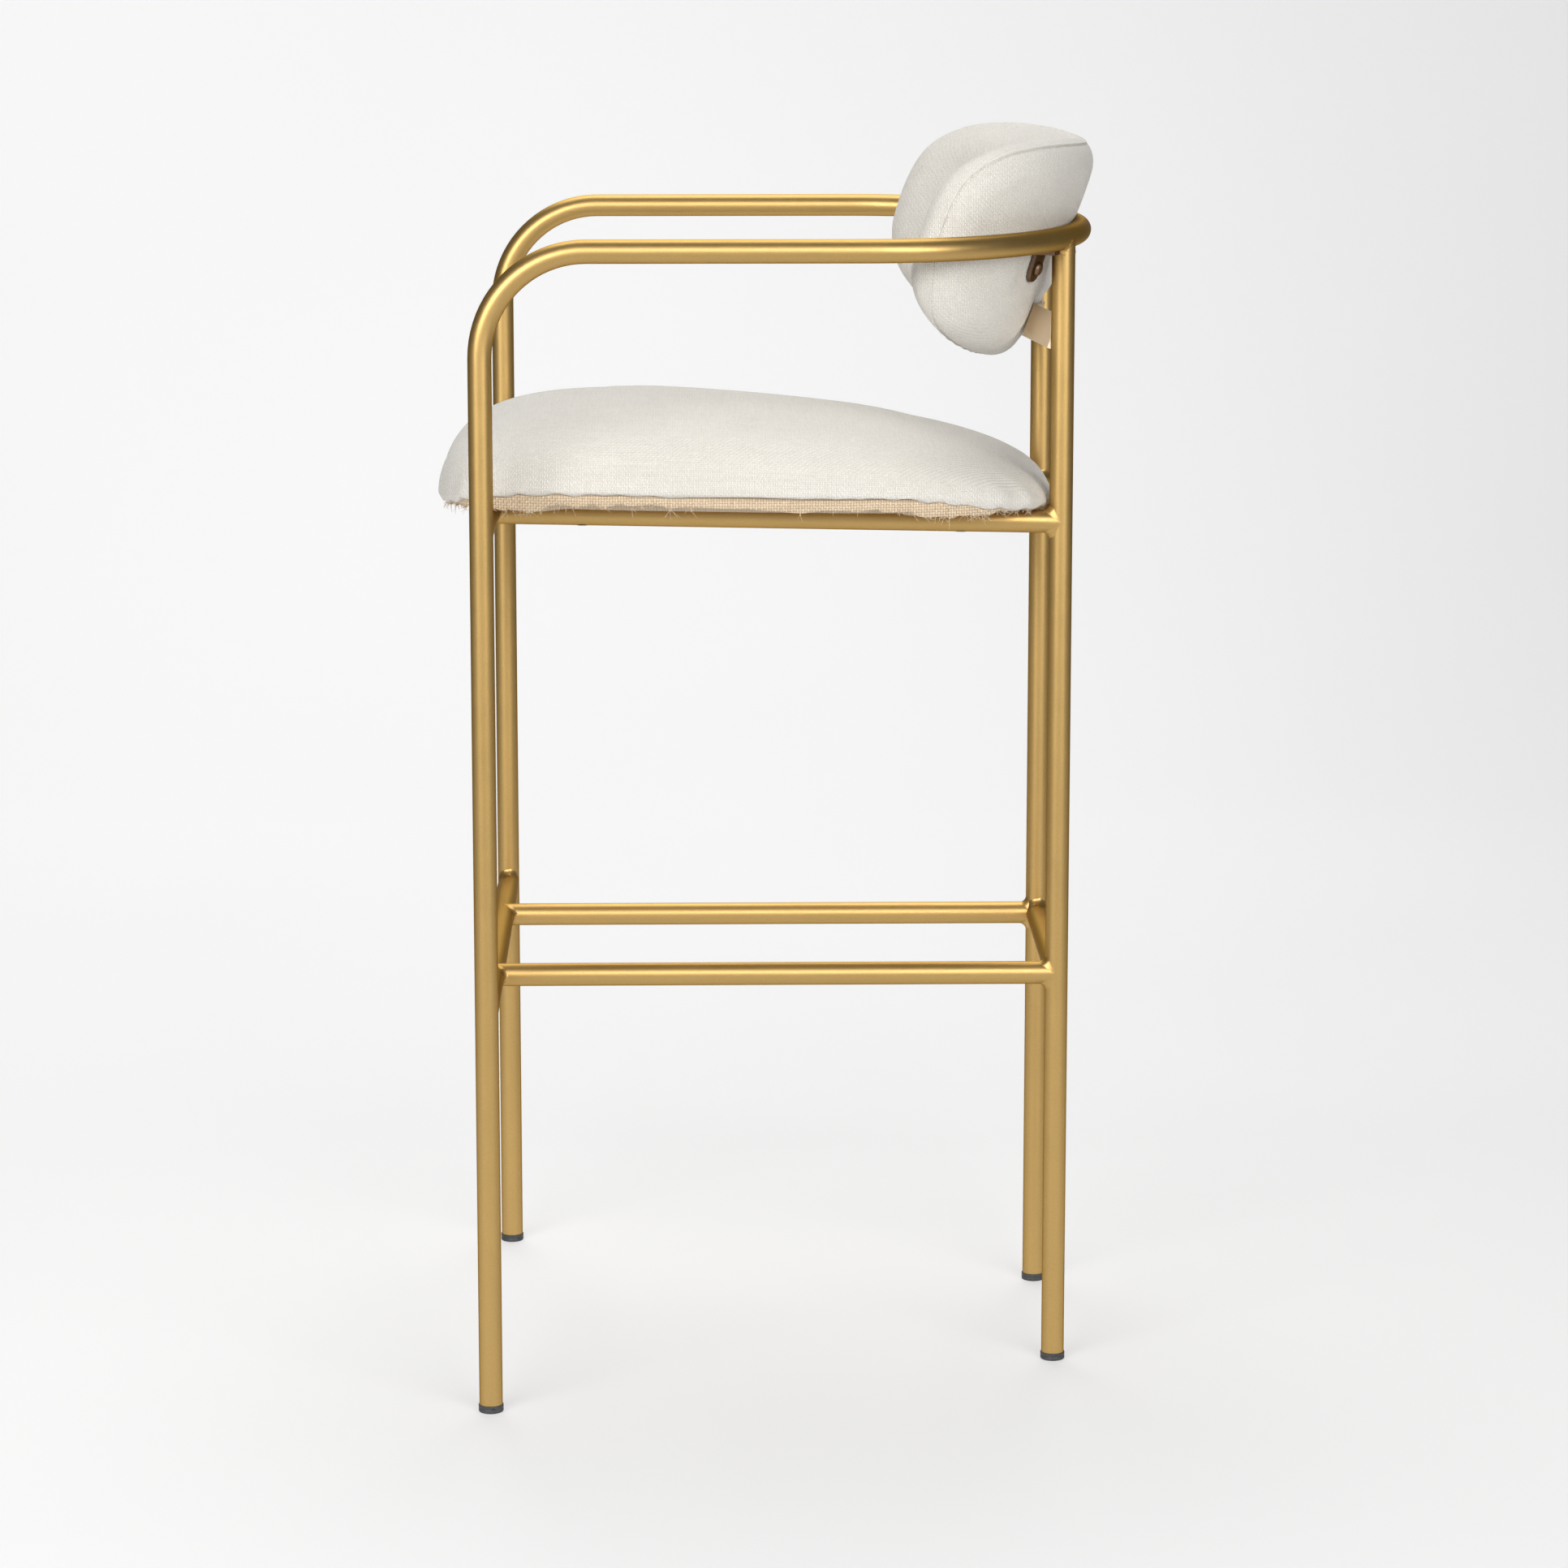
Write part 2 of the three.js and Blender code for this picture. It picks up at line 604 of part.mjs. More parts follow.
// The place on the pad's rear surface at an angle and height, and the outward normal.
function padRear(angle, z) {
  const across = angle / PAD_HALF_ANGLE;
  const up = (z - PAD_MID_Z - PAD_TIP_RISE * across ** 2) / PAD_HALF_HEIGHT;
  const depth = PAD_THICK / 2 - padHalfThickness(across, up, 0);
  const lean = Math.tan(PAD_LEAN);
  const normal = point(Math.sin(angle), Math.cos(angle), -Math.cos(angle) * lean).normalize();
  return { place: padPoint(across, up, depth), normal };
}

// ---- back fixings -------------------------------------------------------------------

const tabRears = SIDES.map(([name, side]) => ({
  name: `tab_screw_${name}`,
  ...padRear(side * TAB_ANGLE, TAB_SCREW_Z),
}));
const bracketRears = SIDES.map(([name, side]) => ({
  name: `bracket_screw_${name}`,
  ...padRear(side * BRACKET_SCREW_ANGLE, BRACKET_Z),
}));
const backFixings = [...tabRears, ...bracketRears];

// A rod on a fixing's axis; distances are measured outward from the pad's rear surface.
function fixingRod(fixing, from, to, radius) {
  const start = fixing.place.clone().addScaledVector(fixing.normal, from);
  const end = fixing.place.clone().addScaledVector(fixing.normal, to);
  return rod(start, end, radius, SCREW_SIDES);
}

// The holes run from past the screws' points to past the outside of the plates.
const fixingHoles = backFixings.map((fixing) => (
  fixingRod(fixing, -(WOOD_SCREW_LENGTH - WOOD_SCREW_POINT + OVERSHOOT), WOOD_SCREW_LENGTH / 2, SCREW_HOLE_R)
));

addPart('back_pad_front_cover', padPanel(1), linen);
addPart('back_pad_front_foam', padFiller(1, PAD_BOARD_DEPTH + PAD_BOARD_THICK + PAD_LAYER_GAP), foam);
addPart('back_pad_board', cut(padBoard, fixingHoles), plywood);
addPart('back_pad_rear_foam', cut(padFiller(-1, PAD_BOARD_DEPTH - PAD_LAYER_GAP), fixingHoles), foam);
addPart('back_pad_rear_cover', cut(padPanel(-1), fixingHoles), linen);

// Each tab is an angle plate: one leg lies on the pad and the other reaches back under
// the hoop to the top of the rear leg.
function tabPlate(side) {
  const rear = padRear(side * TAB_ANGLE, TAB_SCREW_Z);
  const start = rear.place.clone().addScaledVector(rear.normal, PAD_CLEARANCE);
  const topZ = ARM_Z - TUBE_R - 2 * GAP;
  const lean = Math.tan(PAD_LEAN) * Math.cos(TAB_ANGLE);
  const profile = new THREE.Shape();
  const drop = TAB_BOTTOM_Z - start.z;
  const rise = topZ - start.z;
  profile.moveTo(drop * lean, drop);
  profile.lineTo(drop * lean + PLATE_THICK, drop);
  profile.lineTo((rise - PLATE_THICK) * lean + PLATE_THICK, rise - PLATE_THICK);
  profile.lineTo(TAB_REACH, rise - PLATE_THICK);
  profile.lineTo(TAB_REACH, rise);
  profile.lineTo(rise * lean, rise);
  const angle = new THREE.ExtrudeGeometry(profile, { depth: TAB_WIDTH, bevelEnabled: false });
  angle.translate(0, 0, -TAB_WIDTH / 2).rotateX(Math.PI / 2);

  // Seen from behind, the plate is square at the top and round at the bottom.
  const face = new THREE.Shape();
  face.moveTo(-TAB_WIDTH / 2, rise + OVERSHOOT);
  face.lineTo(-TAB_WIDTH / 2, drop + TAB_WIDTH / 2);
  face.absarc(0, drop + TAB_WIDTH / 2, TAB_WIDTH / 2, Math.PI, 2 * Math.PI);
  face.lineTo(TAB_WIDTH / 2, rise + OVERSHOOT);
  const depth = 3 * TAB_REACH;
  const outline = new THREE.ExtrudeGeometry(face, { depth, bevelEnabled: false, curveSegments: 10 });
  outline.rotateX(Math.PI / 2).rotateZ(Math.PI / 2).translate(-depth / 3, 0, 0);

  const plate = common(angle, outline);
  plate.rotateZ(Math.PI / 2 - side * TAB_ANGLE).translate(start.x, start.y, start.z);
  return plate;
}

for (const [name, side] of SIDES) {
  const plate = tabPlate(side);
  const cutters = [legCutters[`rear_${name}`], hoopCutter, ...fixingHoles];
  addPart(`back_tab_${name}`, cut(plate, cutters), bronze);
}

// The lower bracket is a flat bar that is curved round the pad and bent back to the rear
// legs at both ends.
function bracketBar() {
  const { place, normal } = padRear(0, BRACKET_Z);
  const middle = place.clone().addScaledVector(normal, PAD_CLEARANCE);
  const radius = PAD_RADIUS + PAD_CLEARANCE;
  const frontAtLegs = REAR_LEG_Y - TUBE_R + BRACKET_LEG_INSET - middle.y;
  const edge = (offset) => {
    const points = [new THREE.Vector2(-REAR_LEG_X, frontAtLegs + offset)];
    for (let i = -BRACKET_ARC_STEPS; i <= BRACKET_ARC_STEPS; i += 1) {
      const angle = (i / BRACKET_ARC_STEPS) * BRACKET_HALF_ANGLE;
      const reach = radius + offset;
      points.push(new THREE.Vector2(reach * Math.sin(angle), reach * Math.cos(angle) - radius));
    }
    points.push(new THREE.Vector2(REAR_LEG_X, frontAtLegs + offset));
    return points;
  };
  const path = new THREE.Shape([...edge(0), ...edge(PLATE_THICK).reverse()]);
  const bar = new THREE.ExtrudeGeometry(path, { depth: BRACKET_HEIGHT, bevelEnabled: false });
  bar.translate(0, 0, -BRACKET_HEIGHT / 2).rotateX(-PAD_LEAN);
  return bar.translate(0, middle.y, middle.z);
}

addPart(
  'back_lower_bracket',
  cut(bracketBar(), [legCutters.rear_left, legCutters.rear_right, ...fixingHoles]),
  gold,
);

// Round-headed screws through the tabs and the bracket into the pad's board.
const HEAD_STEPS = 4;

for (const fixing of backFixings) {
  const seatOn = PAD_CLEARANCE + PLATE_THICK + 2 * GAP;
  const tip = seatOn - WOOD_SCREW_LENGTH;
  const profile = [
    [0, tip],
    [SCREW_R, tip + WOOD_SCREW_POINT],
    [SCREW_R, seatOn],
  ];
  for (let i = 0; i < HEAD_STEPS; i += 1) {
    const angle = (i / HEAD_STEPS) * (Math.PI / 2);
    const height = WOOD_SCREW_HEAD_HEIGHT * Math.sin(angle);
    profile.push([WOOD_SCREW_HEAD_R * Math.cos(angle), seatOn + height]);
  }
  profile.push([0, seatOn + WOOD_SCREW_HEAD_HEIGHT]);
  const screw = lathe(profile, SCREW_SIDES);
  const turn = new THREE.Quaternion().setFromUnitVectors(point(0, 0, 1), fixing.normal);
  screw.applyQuaternion(turn).translate(fixing.place.x, fixing.place.y, fixing.place.z);
  addPart(fixing.name, screw, fixing.name.startsWith('tab') ? bronze : steel);
}

export default stool;
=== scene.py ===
"""A bar stool with arms, a back pad and a footrest: its looks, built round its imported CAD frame.

Everything is in metres. +Z is up, the sitter faces -Y and the sitter's left is +X.
"""

import math

import bmesh
import bpy
import numpy as np
from mathutils import Matrix, Vector
from mathutils.kdtree import KDTree


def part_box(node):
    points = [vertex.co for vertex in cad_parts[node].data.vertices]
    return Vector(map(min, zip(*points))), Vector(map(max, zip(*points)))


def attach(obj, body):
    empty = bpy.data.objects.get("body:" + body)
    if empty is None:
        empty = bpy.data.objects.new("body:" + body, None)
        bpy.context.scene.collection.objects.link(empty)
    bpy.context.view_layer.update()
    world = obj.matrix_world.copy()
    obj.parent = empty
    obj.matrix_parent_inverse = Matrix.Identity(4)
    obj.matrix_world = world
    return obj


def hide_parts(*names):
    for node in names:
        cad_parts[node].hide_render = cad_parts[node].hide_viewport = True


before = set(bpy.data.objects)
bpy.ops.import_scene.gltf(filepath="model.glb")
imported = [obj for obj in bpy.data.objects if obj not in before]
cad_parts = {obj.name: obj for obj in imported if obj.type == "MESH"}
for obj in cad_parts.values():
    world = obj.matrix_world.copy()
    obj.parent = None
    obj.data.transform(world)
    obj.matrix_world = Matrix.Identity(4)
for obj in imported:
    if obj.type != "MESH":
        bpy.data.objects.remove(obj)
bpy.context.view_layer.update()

RANDOM = np.random.default_rng(7)
MM = 0.001

# ---- dimensions, from the frame where it has them ----


def centre(node):
    low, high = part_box(node)
    return (low + high) / 2


TUBE_R = 9.525 * MM
ARM_X = centre("arm_leg_tube_left").x
ARM_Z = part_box("arm_leg_tube_left")[1].z - TUBE_R
FRONT_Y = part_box("arm_leg_tube_left")[0].y + TUBE_R
ARM_BEND_R = 84 * MM
HOOP_START_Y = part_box("back_hoop_tube")[0].y
HOOP_REAR_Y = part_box("back_hoop_tube")[1].y - TUBE_R
HOOP_LEAD = 3 * MM
REAR_X = centre("rear_leg_tube_left").x
REAR_Y = centre("rear_leg_tube_left").y
TUBE_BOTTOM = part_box("rear_leg_tube_left")[0].z
SEAT_RAIL_FRONT_Z = centre("seat_rail_front").z
SEAT_RAIL_REAR_Z = centre("seat_rail_rear").z
FOOT_RAIL_Z = centre("foot_rail_front").z
SIDES = (("left", 1), ("right", -1))

# ---- meshes ----


def bare_object(name, points, faces):
    """An object in the scene with its faces pointing out, and with no material."""
    mesh = bpy.data.meshes.new(name)
    mesh.from_pydata([tuple(p) for p in points], [], [tuple(face) for face in faces])
    work = bmesh.new()
    work.from_mesh(mesh)
    bmesh.ops.recalc_face_normals(work, faces=work.faces)
    work.to_mesh(mesh)
    work.free()
    made = bpy.data.objects.new(name, mesh)
    bpy.context.scene.collection.objects.link(made)
    return made


def add_object(name, parts, material, smooth_angle=45):
    """One piece of the stool from closed (points, faces) parts."""
    points, faces, start = [], [], 0
    for part_points, part_faces in parts:
        points.extend(part_points)
        faces.extend(tuple(i + start for i in face) for face in part_faces)
        start += len(part_points)
    made = bare_object(name, points, faces)
    made.data.shade_smooth()
    made.data.set_sharp_from_angle(angle=math.radians(smooth_angle))
    made.data.materials.append(material)
    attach(made, "root")
    return made


def ring_faces(rows, columns, closed=False):
    """Quads between rings that each hold the same number of points."""
    faces = []
    for row in range(rows if closed else rows - 1):
        below, above = row * columns, ((row + 1) % rows) * columns
        for i in range(columns):
            j = (i + 1) % columns
            faces.append((below + i, below + j, above + j, above + i))
    return faces


def skin(rings):
    """A closed part through rings, with a flat end on the first and the last ring."""
    rows, columns = len(rings), len(rings[0])
    faces = ring_faces(rows, columns)
    faces.append(tuple(range(columns)))
    faces.append(tuple(range((rows - 1) * columns, rows * columns)))
    return np.concatenate(rings), faces


def pole_skin(rings, first, last):
    """A closed part through rings, with a point at each end."""
    rows, columns = len(rings), len(rings[0])
    faces = ring_faces(rows, columns)
    count = rows * columns
    for i in range(columns):
        j = (i + 1) % columns
        faces.append((count, j, i))
        faces.append((count + 1, (rows - 1) * columns + i, (rows - 1) * columns + j))
    return np.concatenate([*rings, [first], [last]]), faces


def spokes(count):
    return np.linspace(0, 2 * math.pi, count, endpoint=False)


def unit(v):
    return v / np.linalg.norm(v)


def smooth(t):
    t = np.clip(t, 0, 1)
    return t * t * (3 - 2 * t)


def hill(t):
    return np.exp(-(t**2))


def waves(t, *terms):
    """A sum of sines of t; each term is a height, a number of turns and a start."""
    return sum(height * np.sin(turns * t + start) for height, turns, start in terms)


def turned_frames(points):
    """Tangent, normal and binormal at each point of a path, without twist."""
    tangents = np.gradient(points, axis=0)
    tangents /= np.linalg.norm(tangents, axis=1)[:, None]
    upright = abs(tangents[0][2]) >= 0.9
    normal = unit(np.cross(tangents[0], [1, 0, 0] if upright else [0.3, 0.2, 0.9]))
    frames = []
    for tangent in tangents:
        normal = unit(normal - tangent * (normal @ tangent))
        frames.append((tangent, normal, np.cross(tangent, normal)))
    return frames


def tube(points, radius, sides=48):
    """A closed round bar along points. radius is one number or one for each point."""
    points = np.asarray(points, float)
    radii = np.broadcast_to(radius, len(points))
    angles = spokes(sides)
    rings = []
    for place, (_, normal, side), r in zip(points, turned_frames(points), radii):
        round_it = np.outer(np.cos(angles), normal) + np.outer(np.sin(angles), side)
        rings.append(place + r * round_it)
    return skin(rings)


def turned_to(axis):
    """The rotation that takes +Z to an axis."""
    return np.array(Vector((0, 0, 1)).rotation_difference(Vector(axis)).to_matrix())


def circle(radius, height, angles):
    x, y = radius * np.cos(angles), radius * np.sin(angles)
    return np.stack([x, y, np.full(len(angles), height)], -1)


def lathe(profile, sides, place):
    """A profile of (radius, height) turned round +Z; it starts and ends at radius 0."""
    rings = [circle(r, h, spokes(sides)) + place for r, h in profile[1:-1]]
    ends = [np.array([0, 0, profile[i][1]]) + place for i in (0, -1)]
    return pole_skin(rings, *ends)


def curve(start, corner, end, steps):
    """Points of a smooth curve from start to end that is drawn towards corner."""
    out = []
    for i in range(steps + 1):
        t = i / steps
        out.append((1 - t) ** 2 * start + 2 * t * (1 - t) * corner + t * t * end)
    return out


def rounded(corner, before, after, radius):
    """Points that round the corner of a profile."""
    corner, before, after = (np.array(p, float) for p in (corner, before, after))
    start = corner + unit(before - corner) * radius
    return curve(start, corner, corner + unit(after - corner) * radius, 4)


# ---- materials ----


def set_socket(tree, socket, value):
    """Links another node's socket to this one, or sets a plain value."""
    if isinstance(value, bpy.types.NodeSocket):
        tree.links.new(value, socket)
    elif socket.type == "RGBA":
        socket.default_value = (*value, 1.0)
    else:
        socket.default_value = value


def set_inputs(tree, node, **named):
    for key, value in named.items():
        set_socket(tree, node.inputs[key.replace("_", " ")], value)


def add_node(tree, kind, *values, settings=None, **named):
    """A node whose inputs are set by place or by name, to numbers or to other nodes' sockets."""
    made = tree.nodes.new("ShaderNode" + kind)
    for key, value in (settings or {}).items():
        setattr(made, key, value)
    for socket, value in zip(made.inputs, values):
        set_socket(tree, socket, value)
    set_inputs(tree, made, **named)
    return made


def math_node(tree, operation, *values, kind="Math", **named):
    return add_node(tree, kind, *values, settings={"operation": operation}, **named).outputs[0]


def mix_colour(tree, factor, first, second):
    made = add_node(tree, "Mix", settings={"data_type": "RGBA"})
    for name, value in (("Factor_Float", factor), ("A_Color", first), ("B_Color", second)):
        set_socket(tree, next(s for s in made.inputs if s.identifier == name), value)
    return next(s for s in made.outputs if s.identifier == "Result_Color")


def map_range(tree, value, low, high, to_low, to_high):
    return add_node(tree, "MapRange", value, low, high, to_low, to_high).outputs[0]


def new_material(name):
    material = bpy.data.materials.new(name)
    material.use_nodes = True
    tree = material.node_tree
    shader = next(n for n in tree.nodes if n.type == "BSDF_PRINCIPLED")
    place = add_node(tree, "TexCoord").outputs["Object"]
    return material, tree, shader, place


def noise_node(tree, place, scale, detail=2.0, roughness=0.5, stretch=None):
    if stretch is not None:
        mapping = add_node(tree, "Mapping")
        set_inputs(tree, mapping, Vector=place, Scale=stretch)
        place = mapping.outputs[0]
    made = add_node(tree, "TexNoise", Vector=place, Scale=scale, Detail=detail, Roughness=roughness)
    return made.outputs[0]


def set_bump(tree, shader, height, distance):
    bump = add_node(tree, "Bump", Height=height, Distance=distance, Strength=1.0)
    set_inputs(tree, shader, Normal=bump.outputs[0])


FLAKE_SCALE = 1500.0
PAINT_BUMP = 0.02 * MM


def paint_material(name, deep, bright, roughness, edge):
    """Metallic paint: fine flakes that glint, an orange-peel ripple and slight rubbing."""
    material, tree, shader, place = new_material(name)
    flakes = add_node(tree, "TexVoronoi", Vector=place, Scale=FLAKE_SCALE)
    flake = add_node(tree, "SeparateColor", flakes.outputs["Color"]).outputs[0]
    cloud = noise_node(tree, place, 14.0, 3.0)
    clouded = math_node(tree, "MULTIPLY_ADD", cloud, 0.3, 0.2)
    level = math_node(tree, "MULTIPLY_ADD", flake, 0.3, clouded)
    colour = mix_colour(tree, level, deep, bright)
    rub = noise_node(tree, place, 60.0, 5.0, 0.65)
    gloss = map_range(tree, rub, 0.3, 0.7, *roughness)
    ripple = noise_node(tree, place, 420.0, 2.0)
    grain = noise_node(tree, place, 1900.0, 1.0)
    half_grain = math_node(tree, "MULTIPLY", grain, 0.5)
    height = math_node(tree, "MULTIPLY_ADD", ripple, 0.5, half_grain)
    set_bump(tree, shader, height, PAINT_BUMP)
    set_inputs(tree, shader, Base_Color=colour, Roughness=gloss, Metallic=1.0, Specular_Tint=edge)
    return material


def weave_group(name, repeat, over):
    """Threads that cross one unit apart. Out of each repeat crossings, over show the warp."""
    group = bpy.data.node_groups.new(name, "ShaderNodeTree")
    for label in ("U", "V"):
        group.interface.new_socket(label, in_out="INPUT", socket_type="NodeSocketFloat")
    group.interface.new_socket("Height", in_out="OUTPUT", socket_type="NodeSocketFloat")
    ends = group.nodes.new("NodeGroupInput"), group.nodes.new("NodeGroupOutput")
    u, v = ends[0].outputs[0], ends[0].outputs[1]
    ridges = []
    for value in (u, v):
        offset = math_node(group, "SUBTRACT", math_node(group, "FRACT", value), 0.5)
        squared = math_node(group, "MULTIPLY", offset, offset)
        ridges.append(math_node(group, "MULTIPLY_ADD", squared, -4.0, 1.0))
    cells = math_node(group, "ADD", math_node(group, "FLOOR", u), math_node(group, "FLOOR", v))
    turn = math_node(group, "FLOORED_MODULO", cells, float(repeat))
    shows_warp = math_node(group, "LESS_THAN", turn, over - 0.5)
    lower = math_node(group, "MULTIPLY", ridges[1], 0.78)
    height = add_node(group, "Mix", settings={"data_type": "FLOAT"})
    for place, value in ((0, shows_warp), (2, lower), (3, ridges[0])):
        group.links.new(value, height.inputs[place])
    group.links.new(height.outputs[0], ends[1].inputs[0])
    return group


def woven_height(tree, place, group, pitch, wobble):
    """The weave laid on the surface from three sides and blended by the surface's own facing."""
    sway = add_node(tree, "TexNoise", Vector=place, Scale=35.0, Detail=1.0).outputs["Color"]
    moved = math_node(tree, "MULTIPLY_ADD", sway, (wobble,) * 3, place, kind="VectorMath")
    scaled = math_node(tree, "SCALE", moved, kind="VectorMath", Scale=1 / pitch)
    x, y, z = add_node(tree, "SeparateXYZ", scaled).outputs
    normal = add_node(tree, "NewGeometry").outputs["Normal"]
    facing = add_node(tree, "SeparateXYZ", normal).outputs
    weights = [math_node(tree, "POWER", math_node(tree, "ABSOLUTE", f), 6.0) for f in facing]
    total = add_up(tree, weights)
    height = None
    for weight, (u, v) in zip(weights, ((y, z), (x, z), (x, y))):
        woven = tree.nodes.new("ShaderNodeGroup")
        woven.node_tree = group
        tree.links.new(u, woven.inputs[0])
        tree.links.new(v, woven.inputs[1])
        share = math_node(tree, "DIVIDE", weight, total)
        part = math_node(tree, "MULTIPLY", woven.outputs[0], share)
        height = part if height is None else math_node(tree, "ADD", height, part)
    return height


def add_up(tree, values):
    total, *others = values
    for value in others:
        total = math_node(tree, "ADD", total, value)
    return total


SLUB_STRETCHES = ((0.9, 0.035, 0.9), (0.035, 0.9, 0.9), (0.9, 0.9, 0.03))


def cloth_material(name, group, pitch, deep, bright, streak, bump, sheen, wobble=0.6 * MM):
    """Woven cloth: threads with painted shade in the hollows between them, thick and thin yarns
    that run both ways, and soft mottling.
    """
    material, tree, shader, place = new_material(name)
    weave = woven_height(tree, place, group, pitch, wobble)
    slubs = [noise_node(tree, place, 1 / pitch, 2.0, 0.6, stretch) for stretch in SLUB_STRETCHES]
    slub = map_range(tree, add_up(tree, slubs), 1.1, 1.9, 0.0, 1.0)
    fuzz = noise_node(tree, place, 1.1 / pitch, 3.0, 0.7)
    lint = math_node(tree, "MULTIPLY", fuzz, 0.36)
    # Painted shade: the weave's height also sets the colour, so thread edges and the hollows
    # between threads are darker; the lint is the yarn's own random tone.
    woven = mix_colour(tree, math_node(tree, "MULTIPLY_ADD", weave, 0.72, lint), deep, bright)
    streaked = mix_colour(tree, math_node(tree, "MULTIPLY", slub, streak), woven, deep)
    cloud = map_range(tree, noise_node(tree, place, 9.0, 3.0), 0.35, 0.65, 0.0, 0.1)
    colour = mix_colour(tree, cloud, streaked, deep)
    roughness = map_range(tree, fuzz, 0.3, 0.7, 0.82, 0.95)
    relief = math_node(tree, "MULTIPLY_ADD", fuzz, 0.3, weave)
    set_bump(tree, shader, math_node(tree, "MULTIPLY_ADD", slub, 0.3, relief), bump)
    set_inputs(tree, shader, Base_Color=colour, Roughness=roughness, Specular_IOR_Level=0.25)
    set_inputs(tree, shader, Sheen_Weight=sheen, Sheen_Roughness=0.55)
    return material


def plain_material(name, deep, bright, roughness, grain, bump, metallic=0.0, stretch=None):
    """A worn solid: clouded colour, a fine grain and uneven gloss."""
    material, tree, shader, place = new_material(name)
    body = noise_node(tree, place, grain, 4.0, 0.6, stretch)
    colour = mix_colour(tree, map_range(tree, body, 0.3, 0.7, 0.0, 1.0), deep, bright)
    gloss = map_range(tree, body, 0.3, 0.7, *roughness)
    set_bump(tree, shader, body, bump)
    set_inputs(tree, shader, Base_Color=colour, Roughness=gloss, Metallic=metallic)
    return material


TWILL = weave_group("twill_weave", 3, 2)
PLAIN_WEAVE = weave_group("plain_weave", 2, 1)

# Each finish: its name, its deep and bright colours, its range of roughness, and the rest.
BRASS = paint_material(
    "satin_brass_paint", (0.50, 0.33, 0.122), (0.64, 0.42, 0.157), (0.40, 0.45), (0.2, 0.16, 0.12)
)
BRONZE = paint_material(
    "dark_bronze_paint", (0.17, 0.11, 0.07), (0.27, 0.18, 0.115), (0.42, 0.5), (0.3, 0.25, 0.2)
)
# Painted reflection: the lower bracket wears the frame's brass paint, made paler here to show the
# white cushion and backdrop reflected in it.
BRASS_WITH_PAINTED_REFLECTION = paint_material(
    "brass_paint_with_painted_reflection", (0.80, 0.66, 0.48), (0.92, 0.79, 0.61), (0.48, 0.55), (0.6, 0.55, 0.48)
)
THREAD = plain_material(
    "seam_thread", (0.42, 0.39, 0.33), (0.6, 0.57, 0.5), (0.7, 0.9), 900.0, 0.05 * MM
)
RUBBER = plain_material(
    "foot_rubber", (0.025, 0.026, 0.028), (0.07, 0.071, 0.074), (0.5, 0.75), 260.0, 0.08 * MM
)
STEEL = plain_material(
    "zinc_steel", (0.42, 0.40, 0.36), (0.66, 0.64, 0.6), (0.25, 0.45), 320.0, 0.03 * MM, 1.0
)
PLYWOOD = plain_material(
    "plywood", (0.36, 0.22, 0.11), (0.62, 0.44, 0.26), (0.55, 0.75), 55.0, 0.1 * MM,
    stretch=(1.0, 0.08, 6.0),
)
# Each cloth: its name, weave, thread pitch, deep and bright colours, streaks, bump and sheen.
LINEN = cloth_material(
    "cream_linen", TWILL, 1.4 * MM, (0.52, 0.485, 0.42), (0.95, 0.925, 0.875), 0.42, 0.42 * MM, 0.2
)
BURLAP = cloth_material(
    "burlap", PLAIN_WEAVE, 2.2 * MM, (0.38, 0.27, 0.16), (0.88, 0.72, 0.53), 0.5, 0.7 * MM, 0.1,
    wobble=1.6 * MM,
)

# ---- the tube frame ----

ARC_STEPS = 20
HOOP_STEPS = 96
BEND_LEAD = 12 * MM


def arm_path(side):
    """Up the front leg, round the bend and back along the arm."""
    bend_z, bend_y = ARM_Z - ARM_BEND_R, FRONT_Y + ARM_BEND_R
    points = [(side * ARM_X, FRONT_Y, z) for z in np.linspace(TUBE_BOTTOM, bend_z - BEND_LEAD, 12)]
    points.append((side * ARM_X, FRONT_Y, bend_z - BEND_LEAD / 3))
    for angle in np.linspace(0, math.pi / 2, ARC_STEPS + 1):
        y, z = bend_y - ARM_BEND_R * math.cos(angle), bend_z + ARM_BEND_R * math.sin(angle)
        points.append((side * ARM_X, y, z))
    points.append((side * ARM_X, bend_y + BEND_LEAD / 3, ARM_Z))
    points += [(side * ARM_X, y, ARM_Z) for y in np.linspace(bend_y + BEND_LEAD, HOOP_START_Y, 10)]
    return np.array(points)


def hoop_point(angle):
    y = HOOP_START_Y + HOOP_LEAD + (HOOP_REAR_Y - HOOP_START_Y - HOOP_LEAD) * math.sin(angle)
    return np.array([ARM_X * math.cos(angle), y, ARM_Z])


def hoop_path():
    ends = [(side * ARM_X, HOOP_START_Y, ARM_Z) for _, side in SIDES]
    bow = [hoop_point(a) for a in np.linspace(0, math.pi, HOOP_STEPS + 1)]
    return np.array([ends[0], *bow, ends[1]])


WELD_SIDES = 64
WELD_STEPS = 8
WELD_SAG = 0.12
WELD_BITE = 0.2 * MM
WELD_ROOT = 1.6 * MM


